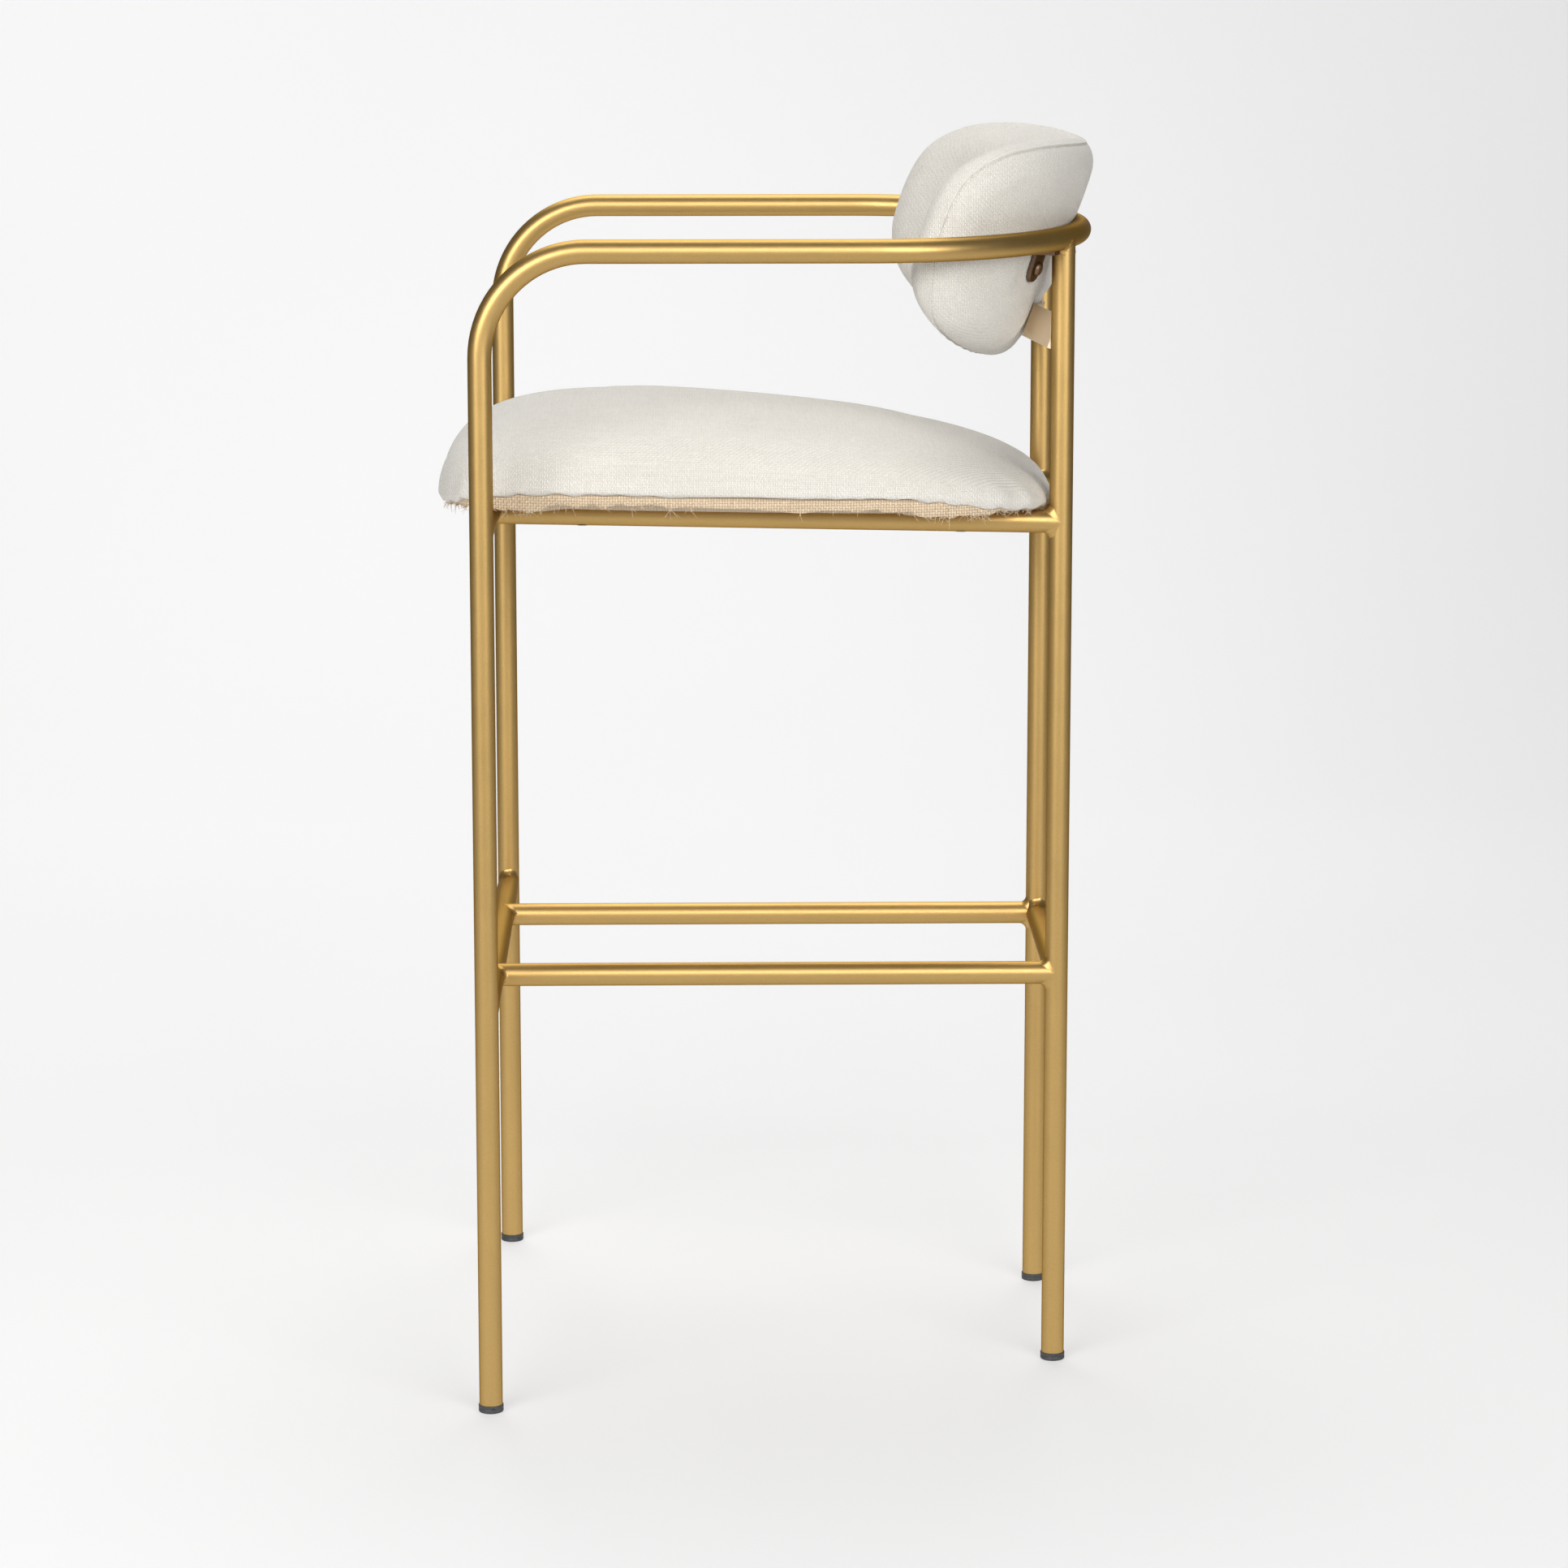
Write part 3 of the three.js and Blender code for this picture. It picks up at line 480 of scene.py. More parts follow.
def weld(place, branch, main, width, rough=0.1):
    """The fillet where a branch tube runs into a main tube.

    place is where the two axes cross, and branch points away from the main tube. The fillet
    dies out where the two surfaces are tangent."""
    place, branch, main = (np.asarray(v, float) for v in (place, branch, main))
    side = np.cross(branch, main)
    rings = []
    for angle in spokes(WELD_SIDES):
        c, s = math.cos(angle), math.sin(angle)
        beads = waves(angle, (1, 7, place[0] * 90), (0.6, 13, place[2] * 50))
        leg = width * (1 + rough * beads / 1.6)

        def height(rho):
            return math.sqrt(max(TUBE_R**2 - (rho * c) ** 2, 0))

        reach = min(leg, max(TUBE_R / max(abs(c), 1e-6) - TUBE_R, 0) * 0.98)
        low = height(TUBE_R)
        top = np.array([TUBE_R - WELD_BITE, low + leg])
        foot = np.array([TUBE_R + reach, height(TUBE_R + reach) - WELD_BITE])
        corner = np.array([TUBE_R + WELD_SAG * reach, low + WELD_SAG * leg])
        section = curve(top, corner, foot, WELD_STEPS)
        section.append(foot - [2 * WELD_BITE, WELD_ROOT])
        section.append([TUBE_R - WELD_ROOT, low - WELD_ROOT])
        section.append(top - [WELD_ROOT - WELD_BITE, 2 * WELD_BITE])
        around = c * side + s * main
        rings.append(np.array([place + rho * around + t * branch for rho, t in section]))
    return np.concatenate(rings), ring_faces(len(rings), len(rings[0]), closed=True)


def drilled(part, holes):
    """A part with round holes cut into it; each hole is its start, end and radius."""
    body = bare_object("drilled", *part)
    cutters = []
    for start, end, radius in holes:
        cutter = bare_object("cutter", *tube([start, end], radius, 40))
        modifier = body.modifiers.new("drill", "BOOLEAN")
        modifier.operation = "DIFFERENCE"
        modifier.object = cutter
        cutters.append(cutter)
    result = body.evaluated_get(bpy.context.evaluated_depsgraph_get()).data
    points = [tuple(v.co) for v in result.vertices]
    faces = [tuple(f.vertices) for f in result.polygons]
    for made in (body, *cutters):
        bpy.data.objects.remove(made)
    return points, faces


UP, DOWN = np.array([0, 0, 1.0]), np.array([0, 0, -1.0])
ALONG_X = np.array([1.0, 0, 0])
FILLET = 5.5 * MM
HOOP_FILLET = 2.6 * MM
SPATTER_DROPS = 26
SPATTER_SIZES = (0.25 * MM, 0.75 * MM)
HEAD_GAP = 0.3 * MM
HEAD_HOLE_DEPTH = 3.4 * MM


def build_arms():
    for name, side in SIDES:
        bar = tube(arm_path(side), TUBE_R)
        piece = add_object(f"arm_and_front_leg_{name}", [bar], BRASS)
        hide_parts(f"arm_leg_tube_{name}")
    piece = add_object("back_hoop", [tube(hoop_path(), TUBE_R)], BRASS)
    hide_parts("back_hoop_tube")


def build_rear_legs():
    angle = math.acos(REAR_X / ARM_X)
    tangent = unit(hoop_point(angle + 0.01) - hoop_point(angle - 0.01))
    for name, side in SIDES:
        heights = np.linspace(TUBE_BOTTOM, ARM_Z - TUBE_R * 0.6, 14)
        parts = [tube([(side * REAR_X, REAR_Y, z) for z in heights], TUBE_R)]
        along = tangent * np.array([side, 1, 1])
        parts.append(weld((side * REAR_X, REAR_Y, ARM_Z), DOWN, along, HOOP_FILLET, rough=0.3))
        for _ in range(SPATTER_DROPS):
            turn = RANDOM.uniform(0, 2 * math.pi)
            drop = TUBE_R + abs(RANDOM.normal(0, HOOP_FILLET)) + 0.5 * MM
            size = RANDOM.uniform(*SPATTER_SIZES)
            place = np.array([side * REAR_X, REAR_Y, ARM_Z - drop])
            place[:2] += (TUBE_R - 0.1 * MM) * np.array([math.cos(turn), math.sin(turn)])
            parts.append(bead(place, size))
        piece = add_object(f"rear_leg_{name}", parts, BRASS)
        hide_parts(f"rear_leg_tube_{name}")


def bead(place, size):
    """A small drop of weld metal, slightly squashed."""
    squash = 0.8
    rows = [
        place + size * circle(math.sqrt(1 - lift**2), lift * squash, spokes(8))
        for lift in (-0.75, -0.3, 0.3, 0.75)
    ]
    return pole_skin(rows, place - [0, 0, size * squash], place + [0, 0, size * squash])


def head_hole(screw):
    """The countersink for a seat screw's head, in the underside of a side rail."""
    low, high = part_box(screw)
    middle = (low + high) / 2
    radius = (high.x - low.x) / 2 + HEAD_GAP
    start, end = low.z - TUBE_R, low.z + HEAD_HOLE_DEPTH
    return (middle.x, middle.y, start), (middle.x, middle.y, end), radius


def build_rails(prefix, front_z, rear_z):
    """A front and a rear cross rail with two side rails between, welded at each meeting."""
    front_parts = [tube([(x, FRONT_Y, front_z) for x in np.linspace(-ARM_X, ARM_X, 9)], TUBE_R)]
    rear_parts = [tube([(x, REAR_Y, rear_z) for x in np.linspace(-REAR_X, REAR_X, 7)], TUBE_R)]
    for _, side in SIDES:
        front_parts.append(weld((side * ARM_X, FRONT_Y, front_z), -side * ALONG_X, UP, FILLET))
        rear_parts.append(weld((side * REAR_X, REAR_Y, rear_z), -side * ALONG_X, UP, FILLET))
    for end, parts in (("front", front_parts), ("rear", rear_parts)):
        rail = add_object(f"{prefix}_{end}_rail", parts, BRASS)
        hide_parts(f"{prefix}_rail_{end}")
    for name, side in SIDES:
        start = np.array([side * REAR_X, FRONT_Y, front_z])
        end = np.array([side * REAR_X, REAR_Y, rear_z])
        run = unit(end - start)
        bar = tube([start + (end - start) * t for t in np.linspace(0, 1, 9)], TUBE_R)
        if prefix == "seat":
            screws = [f"seat_screw_{place}_{name}" for place in ("front", "rear")]
            bar = drilled(bar, [head_hole(screw) for screw in screws])
        front_weld = weld(start, run, ALONG_X, FILLET * 0.75, rough=0.2)
        parts = [bar, front_weld, weld(end, -run, UP, FILLET)]
        rail = add_object(f"{prefix}_side_rail_{name}", parts, BRASS)
        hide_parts(f"{prefix}_rail_{name}")


CAP_GAP = 0.1 * MM
CAP_STEM_R = TUBE_R - 1.9 * MM
CAP_GROOVE = 0.28 * MM
CAP_SOLE_ROUND = 1.5 * MM
CAP_TOP_ROUND = 0.6 * MM
CAP_TIP = 1 * MM


def build_foot_caps():
    """Black caps pushed into the tube ends, with a rounded sole and a thin moulded collar."""
    for end in ("front", "rear"):
        for name, _ in SIDES:
            node = f"foot_cap_{end}_{name}"
            low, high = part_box(node)
            middle = (low + high) / 2
            r = (high.x - low.x) / 2
            collar = TUBE_BOTTOM - CAP_GAP
            groove = r - CAP_GROOVE
            profile = [(0, 0), (r * 0.55, 0), *rounded((r, 0), (0, 0), (r, collar), CAP_SOLE_ROUND)]
            profile += [(r, collar * 0.42), (groove, collar * 0.48), (groove, collar * 0.55)]
            profile.append((r, collar * 0.6))
            profile += rounded((r, collar), (r, 0), (0, collar), CAP_TOP_ROUND)
            profile += [(CAP_STEM_R, collar), (CAP_STEM_R, high.z - CAP_TIP)]
            profile += [(CAP_STEM_R - CAP_TIP, high.z), (0, high.z)]
            cap = lathe(profile, 64, (middle.x, middle.y, 0))
            piece = add_object(node + "_moulded", [cap], RUBBER)
            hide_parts(node)


# ---- seat ----

SEAT_FRONT_Y = -270 * MM
SEAT_REAR_Y = 240 * MM
SEAT_MID_Y = (SEAT_FRONT_Y + SEAT_REAR_Y) / 2
SEAT_HALF_LENGTH = (SEAT_REAR_Y - SEAT_FRONT_Y) / 2
SEAT_HALF_WIDTH = 205 * MM
SEAT_NARROWING = 30 * MM
SEAT_NARROW_FROM = -0.4
SEAT_FRONT_CORNER = 4.6
SEAT_REAR_CORNER = 4.3
SEAT_CROWN = 73.5 * MM
SEAT_CROWN_DROP = 30 * MM
SEAT_PEAK_Y = -150 * MM
SEAT_DROP_Y = 202 * MM
SEAT_RIM_HEIGHT = 19.5 * MM
SEAT_FRONT_RIM_DROP = 16 * MM
SEAT_REAR_RIM_DROP = 15 * MM
SEAT_NARROW_POWER = 2.8
SEAT_CROWN_POWER = 1.8
SEAT_SHOULDER_POWER = 4
SEAT_FRONT_RIM_POWER = 6
SEAT_REAR_RIM_POWER = 4
SEAT_SPOKES = 288
SEAT_RINGS = 60
SEAT_MIDDLE = np.array([0, SEAT_MID_Y, 0])
SEAT_INSET = 5 * MM
SEAT_HELD_BELOW = 17 * MM
STAPLE_PITCH = 27 * MM

SEAT_LEAN = math.atan2(SEAT_RAIL_FRONT_Z - SEAT_RAIL_REAR_Z, REAR_Y - FRONT_Y)
SEAT_TO_ROW = (
    Matrix.Translation((0, FRONT_Y, SEAT_RAIL_FRONT_Z))
    @ Matrix.Rotation(-SEAT_LEAN, 4, "X")
    @ Matrix.Translation((0, -FRONT_Y, TUBE_R))
)


def from_seat(points):
    """Points of the seat's own frame, whose Z is 0 on top of the rails, in the row frame."""
    turn = np.array(SEAT_TO_ROW)
    return np.asarray(points) @ turn[:3, :3].T + turn[:3, 3]


def rounded_unit(angle, corner):
    c, s = np.cos(angle), np.sin(angle)
    return np.sign(c) * np.abs(c) ** (2 / corner), np.sign(s) * np.abs(s) ** (2 / corner)


def seat_plan(rho, angle):
    corner = np.where(np.sin(angle) < 0, SEAT_FRONT_CORNER, SEAT_REAR_CORNER)
    across, along = rounded_unit(angle, corner)
    along = rho * along
    behind = np.maximum(0, (along - SEAT_NARROW_FROM) / (1 - SEAT_NARROW_FROM))
    half_width = SEAT_HALF_WIDTH - SEAT_NARROWING * behind**SEAT_NARROW_POWER
    return rho * across * half_width, SEAT_MID_Y + along * SEAT_HALF_LENGTH, along


def seat_rim(along):
    front_drop = SEAT_FRONT_RIM_DROP * np.maximum(0, -along) ** SEAT_FRONT_RIM_POWER
    rear_drop = SEAT_REAR_RIM_DROP * np.maximum(0, along) ** SEAT_REAR_RIM_POWER
    return SEAT_RIM_HEIGHT - front_drop - rear_drop


def seat_top(rho, angle):
    """Points of the crowned top, from its middle (rho 0) to its widest line (rho 1)."""
    x, y, along = seat_plan(rho, angle)
    behind = np.maximum(0, (y - SEAT_PEAK_Y) / (SEAT_DROP_Y - SEAT_PEAK_Y))
    crown = SEAT_CROWN - SEAT_CROWN_DROP * behind**SEAT_CROWN_POWER
    rim = seat_rim(along)
    shoulder = np.sqrt(np.maximum(0, 1 - rho**SEAT_SHOULDER_POWER))
    return np.stack([x, y, rim + (crown - rim) * shoulder], -1)


HEM_LEVEL = 17.3 * MM
HEM_FRONT_DROP = 20.5 * MM
HEM_REAR_DROPS = (13 * MM, 3 * MM)


def hem_height(along):
    """How high the cover's stapled hem is: level at the sides, low in front and behind."""
    front = HEM_FRONT_DROP * np.maximum(0, -along) ** 6
    slope, end = HEM_REAR_DROPS
    rear = slope * smooth((along - 0.42) / 0.5) + end * np.maximum(0, along) ** 8
    return HEM_LEVEL - front - rear


def seat_rings():
    """The cushion's rings from the top down to the hem and round under it."""
    angle = spokes(SEAT_SPOKES)
    rings = []
    for i in range(1, SEAT_RINGS + 1):
        rho = math.sin((i / SEAT_RINGS) * math.pi / 2)
        rings.append(seat_top(np.full(SEAT_SPOKES, rho), angle))
    x, y, along = seat_plan(np.ones(SEAT_SPOKES), angle)
    rim = seat_rim(along)
    drop = np.maximum(rim - hem_height(along), 1.5 * MM)
    for t in (0.25, 0.5, 0.75, 1.0):
        shrink = 1 - 0.012 * t**2
        shrunk_y = SEAT_MID_Y + (y - SEAT_MID_Y) * shrink
        rings.append(np.stack([x * shrink, shrunk_y, rim - drop * t], -1))
    return rings


def ring_normals(rings, pole=None):
    """The outward direction at every point of rings.

    The rings are those of a closed body or, where pole is given, lead from it over a panel."""
    stack = np.array(rings)
    down = np.gradient(stack, axis=0)
    round_way = np.roll(stack, -1, 1) - np.roll(stack, 1, 1)
    normal = np.cross(round_way, down)
    normal /= np.maximum(np.linalg.norm(normal, axis=2)[..., None], 1e-12)
    if pole is None:
        outward = np.sum((stack - stack.reshape(-1, 3).mean(0)) * normal)
    else:
        outward = normal[0].mean(0) @ (pole - stack[-1].mean(0))
    return -normal if outward < 0 else normal


def shrink_rings(rings, inset):
    """Rings moved inwards, square to the surface, by inset."""
    return list(np.array(rings) - ring_normals(rings) * inset)


# ---- cloth simulation ----

SIM_FRAMES = 20
SIM_CAP = 9 * MM
SIM_SHARE = 0.5
SIM_NEAREST = 8
SIM_CLOTH = {
    "quality": 6,
    "mass": 0.3,
    "tension_stiffness": 12.0,
    "compression_stiffness": 12.0,
    "shear_stiffness": 4.8,
    "bending_stiffness": 0.4,
    "use_pressure": True,
    "uniform_pressure_force": 4.0,
    "vertex_group_mass": "pinned",
}


def inflate(name, part, pinned, voxel):
    """Blows a closed part up like a stuffed cover and returns where it went.

    pinned says for points of the remeshed part how firmly each is held, from 0 to 1. The answer
    is the remeshed part's points and how far each moved, at most SIM_CAP."""
    body = bare_object(name, *part)
    remesh = body.modifiers.new("remesh", "REMESH")
    remesh.mode = "VOXEL"
    remesh.voxel_size = voxel
    graph = bpy.context.evaluated_depsgraph_get()
    fine = bpy.data.meshes.new_from_object(body.evaluated_get(graph))
    body.modifiers.clear()
    body.data = fine
    start = np.array([v.co for v in fine.vertices])
    group = body.vertex_groups.new(name="pinned")
    for index, weight in enumerate(pinned(start)):
        group.add([index], float(weight), "REPLACE")
    cloth = body.modifiers.new("cloth", "CLOTH")
    for setting, value in SIM_CLOTH.items():
        setattr(cloth.settings, setting, value)
    cloth.settings.effector_weights.gravity = 0
    cloth.collision_settings.use_self_collision = False
    scene = bpy.context.scene
    for step in range(1, SIM_FRAMES + 1):
        scene.frame_set(step)
    graph = bpy.context.evaluated_depsgraph_get()
    end = np.array([v.co for v in body.evaluated_get(graph).data.vertices])
    scene.frame_set(1)
    bpy.data.objects.remove(body)
    moved = end - start
    length = np.linalg.norm(moved, axis=1)
    moved *= np.minimum(1, SIM_CAP / np.maximum(length, 1e-9))[:, None]
    return start, moved


def tree_of(points):
    tree = KDTree(len(points))
    for i, place in enumerate(points):
        tree.insert(place, i)
    tree.balance()
    return tree


def carried(points, start, moved):
    """points, each moved as the simulated points round it moved."""
    tree = tree_of(start)
    out = np.array(points, float)
    for i, place in enumerate(out):
        found = tree.find_n(place, SIM_NEAREST)
        weights = np.array([1 / (distance + 1e-4) ** 2 for _, _, distance in found])
        shift = sum(w * moved[index] for w, (_, index, _) in zip(weights, found))
        out[i] = place + shift / weights.sum()
    return out


def fuller(drawn, simulated, normals):
    """Drawn points moved part of the way to the simulated ones, but never inwards."""
    shift = simulated - drawn
    inwards = np.minimum((shift * normals).sum(-1), 0)
    return drawn + SIM_SHARE * (shift - normals * inwards[..., None])


def stapled(points):
    """Held where the cover is stapled under its edge, and free above."""
    return np.clip((SEAT_HELD_BELOW - points[:, 2]) / (4 * MM), 0, 1)


# ---- seat cushion and burlap ----


def rim_length(ring):
    steps = np.linalg.norm(np.roll(ring, -1, 0) - ring, axis=1)
    return np.concatenate([[0], np.cumsum(steps)[:-1]]), steps.sum()


FOLD_DEPTH = 1.1 * MM
FOLD_WIDTH = 0.17
FOLD_RIPPLES = 19
PUCKER_DEPTH = 0.35 * MM


def corner_folds(rings):
    """Soft folds where the cover is gathered round the corners, and puckers at the staples."""
    angle = spokes(SEAT_SPOKES)
    lengths, total = rim_length(rings[SEAT_RINGS - 1])
    count = round(total / STAPLE_PITCH)
    pucker = np.cos(lengths / total * count * 2 * math.pi + 0.8 * np.sin(5 * angle))
    for row, ring in enumerate(rings):
        rho = math.sin((row + 1) / SEAT_RINGS * math.pi / 2) if row < SEAT_RINGS else 1.0
        low = max(0.0, (rho - 0.8) / 0.2) ** 2
        outward = ring - SEAT_MIDDLE
        outward[:, 2] = 0
        outward /= np.linalg.norm(outward, axis=1)[:, None]
        push = PUCKER_DEPTH * pucker * low
        for corner in np.radians([45, 135, 225, 315]):
            off = (angle - corner + math.pi) % (2 * math.pi) - math.pi
            push -= FOLD_DEPTH * low * hill(off / FOLD_WIDTH) * np.cos(off * FOLD_RIPPLES)
        ring += outward * push[:, None]
        if row >= SEAT_RINGS:
            ripple = 0.9 * pucker + waves(angle, (0.35, 31, 0), (0.3, 57, 0))
            ring[:, 2] += (row - SEAT_RINGS + 1) / 4 * ripple * MM
    return rings


def hem_ring(hem, shrink, height):
    """The hem drawn in towards the seat's middle, at another height."""
    ring = SEAT_MIDDLE + (hem - SEAT_MIDDLE) * [shrink, shrink, 0]
    ring[:, 2] = height
    return ring


def build_seat():
    rings = seat_rings()
    top = seat_top(np.zeros(1), np.zeros(1))[0]
    small = shrink_rings(rings, SEAT_INSET)
    small_top = top - [0, 0, SEAT_INSET]
    under = [small[-1] * [share, share, 1] for share in (0.985, 0.7)]
    part = pole_skin([*small, *under], small_top, [0, SEAT_MID_Y, small[-1][:, 2].mean()])
    start, moved = inflate("seat_sim", part, stapled, 6 * MM)
    rows = carried(np.concatenate([*small, [small_top]]), start, moved)
    top = np.maximum(top, rows[-1])
    simulated = rows[:-1].reshape(len(small), SEAT_SPOKES, 3)
    rings = list(fuller(np.array(rings), simulated, ring_normals(rings)))
    rings = corner_folds(rings)
    hem = rings[-1]
    z = hem[:, 2]
    under_foam = np.maximum(z, 14 * MM) + 3 * MM
    rows = [(0.988, z - 0.2 * MM), (0.975, z + 1.5 * MM), (0.955, z + 3 * MM)]
    rows += [(0.8, under_foam), (0.4, under_foam)]
    inner = [hem_ring(hem, *row) for row in rows]
    last = np.array([0, SEAT_MID_Y, inner[-1][:, 2].mean()])
    points, faces = pole_skin([*rings, *inner], top, last)
    piece = add_object("seat_cushion", [(from_seat(points), faces)], LINEN, 60)
    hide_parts("seat_cover", "seat_foam")
    return hem


BURLAP_THICK = 0.9 * MM
BURLAP_BAND = 8.5
# Each droop: how many millimetres, where along the seat, and how wide.
BURLAP_DROOPS = ((4, -0.75, 0.15), (3.5, 0.6, 0.12))
FRAY = 0.9 * MM
EDGE_ROW = 8


def burlap_lip(hem):
    """How high the burlap's lower edge is: a ragged band that droops in two places."""
    angle = spokes(SEAT_SPOKES)
    along = seat_plan(np.ones(SEAT_SPOKES), angle)[2]
    band = BURLAP_BAND + waves(angle, (1.1, 9, 0.6), (0.9, 23, 0), (0.6, 41, 1))
    for droop, place, width in BURLAP_DROOPS:
        band += droop * hill((along - place) / width)
    band *= 1 - smooth((along - 0.7) / 0.18)
    band = np.where(along < -0.93, 1.5, band)
    lowest = np.minimum(0.8 * MM, hem[:, 2] - 1.2 * MM)
    return np.maximum(hem[:, 2] - np.maximum(band, 1.2) * MM, lowest)


def build_burlap(hem):
    """The dust cover: flat under the board, turned up round its edge and tucked under the hem."""
    lip = burlap_lip(hem)
    frayed = FRAY * RANDOM.standard_normal(SEAT_SPOKES)
    turned_in = np.maximum(lip, 0.6 * MM)
    rows = [(0.988, hem[:, 2] + 4 * MM), (0.990, hem[:, 2] + 1 * MM)]
    for t in (0.15, 0.35, 0.55, 0.75, 0.9):
        rows.append((0.992 + 0.002 * math.sin(t * math.pi), hem[:, 2] + (lip - hem[:, 2]) * t))
    rows += [(0.991, lip + frayed * 0.5), (0.986, lip - 0.4 * MM + frayed), (0.978, lip + 0.2 * MM)]
    rows += [(0.965, turned_in * 0.85), (0.93, turned_in * 0.45), (0.89, 1.35 * MM)]
    rows += [(shrink, 1.3 * MM) for shrink in (0.8, 0.6, 0.4, 0.2)]
    outer = [hem_ring(hem, *row) for row in rows]
    inner = shrink_rings(outer, BURLAP_THICK)
    hubs = [np.array([0, SEAT_MID_Y, side[-1][:, 2].mean()]) for side in (inner, outer)]
    points, faces = pole_skin([*inner[::-1], *outer], *hubs)
    piece = add_object("seat_burlap", [(from_seat(points), faces)], BURLAP, 60)
    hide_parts("seat_dust_cover")
    threads = build_loose_threads(outer[EDGE_ROW])
    sheet_area(np.array(outer))


def sheet_area(stack):
    """The area of the rings, with the middle closed."""
    side = np.roll(stack[:-1], -1, 1) - stack[:-1]
    down = stack[1:] - stack[:-1]
    area = np.linalg.norm(np.cross(side, down), axis=2).sum()
    last = stack[-1]
    hub = last.mean(0)
    area += 0.5 * np.linalg.norm(np.cross(last - hub, np.roll(last, -1, 0) - hub), axis=1).sum()
    return float(area)


LOOSE_THREADS = 520
LOOSE_THREAD_LENGTHS = (2 * MM, 9 * MM)
LOOSE_THREAD_RADII = np.linspace(0.28, 0.12, 6) * MM


def build_loose_threads(edge):
    """Loose yarns that stand out of the burlap's lower edge."""
    parts = []
    for _ in range(LOOSE_THREADS):
        start = edge[int(RANDOM.integers(0, SEAT_SPOKES))]
        out = unit((start - SEAT_MIDDLE) * [1, 1, 0])
        aside = np.array([-out[1], out[0], 0])
        length = RANDOM.uniform(*LOOSE_THREAD_LENGTHS)
        lean = out * RANDOM.uniform(-0.1, 0.5) + aside * RANDOM.normal(0, 1.0)
        heading = unit(lean + DOWN * RANDOM.uniform(0.2, 1.0))
        curl = unit(RANDOM.standard_normal(3)) * length * 0.35
        path = [start + heading * length * t + curl * t * t for t in np.linspace(-0.15, 1, 6)]
        parts.append(tube(from_seat(path), LOOSE_THREAD_RADII, sides=5))
    return add_object("burlap_loose_threads", parts, BURLAP)


# ---- back pad ----

# The stuffed cloth stands PAD_SWELL behind the CAD pad, except where the frame presses on it.
PAD_SWELL = 6 * MM
PAD_RADIUS = 284 * MM + PAD_SWELL
PAD_BACK_Y = 246 * MM + PAD_SWELL
PAD_MID_Z = 930.5 * MM
PAD_HALF_HEIGHT = 89.5 * MM
PAD_HALF_ANGLE = math.radians(51)
PAD_LEAN = math.radians(19.8)
PAD_TIP_RISE = 30.5 * MM
PAD_THICK = 47 * MM + PAD_SWELL
PAD_CORNER = 2.95
PAD_EDGE_BAND = 30 * MM
PAD_CROWN = 0.15
PAD_HALF_LENGTH = PAD_HALF_ANGLE * (PAD_RADIUS - PAD_THICK / 2)
PAD_SPOKES = 320
PAD_INNER_RINGS = 30
PAD_BAND_RINGS = 16
PAD_INSET = 4.5 * MM
SEAM_GROOVE = 0.55 * MM
SEAM_WIDTH = 1.6 * MM
SEAM_DIP = 0.3 * MM
SEAM_PUCKER = 0.16 * MM
SEAM_PUCKERS = 74
WRINKLES_FROM = 25 * MM
SEAM_HOLD = 7 * MM
SEAM_BLEND = 5


def pad_point(across, up, depth):
    angle = across * PAD_HALF_ANGLE
    radius = PAD_RADIUS - depth
    rise = up * PAD_HALF_HEIGHT
    y = PAD_BACK_Y - PAD_RADIUS + radius * np.cos(angle) + rise * math.tan(PAD_LEAN)
    return np.stack([radius * np.sin(angle), y, PAD_MID_Z + rise + PAD_TIP_RISE * across**2], -1)


PAD_ACROSS, PAD_UP = rounded_unit(spokes(PAD_SPOKES), PAD_CORNER)
PAD_SLOPE = np.hypot(
    np.abs(PAD_ACROSS) ** (PAD_CORNER - 1) / PAD_HALF_LENGTH,
    np.abs(PAD_UP) ** (PAD_CORNER - 1) / PAD_HALF_HEIGHT,
)


def pad_ring(rho, sine, facing):
    """One ring of the pad's skin; sine is how far the rounded edge has risen, from 0 to 1."""
    half = PAD_THICK / 2 * sine * (1 + PAD_CROWN * (1 - rho**2)) / (1 + PAD_CROWN)
    return pad_point(rho * PAD_ACROSS, rho * PAD_UP, PAD_THICK / 2 + facing * half)


def pad_band_ring(turn):
    """A ring on the rounded edge; turn is 0 at the widest line and 90 degrees on the front."""
    rho = 1 - PAD_EDGE_BAND * (1 - np.cos(turn)) * PAD_SLOPE
    return pad_ring(rho, np.sin(turn), 1)


def seam_turns():
    """The seam's place on the rounded edge: behind the widest line, but in front of it below."""
    low = smooth((-np.sin(spokes(PAD_SPOKES)) - 0.25) / 0.7)
    return np.radians(-30 + 50 * low)


def pad_rings(facing):
    """Rings of one panel from its middle to the seam."""
    inner = 1 - PAD_EDGE_BAND * PAD_SLOPE
    rings = [pad_ring(inner * i / PAD_INNER_RINGS, 1.0, facing) for i in range(1, PAD_INNER_RINGS)]
    last = seam_turns()
    count = PAD_BAND_RINGS + (5 if facing > 0 else 0)
    for t in np.linspace(0, 1, count):
        rings.append(pad_band_ring(facing * math.pi / 2 * (1 - t) + last * t))
    return rings


def pad_pole(facing):
    return pad_point(np.zeros(1), np.zeros(1), PAD_THICK / 2 * (1 + facing))[0]


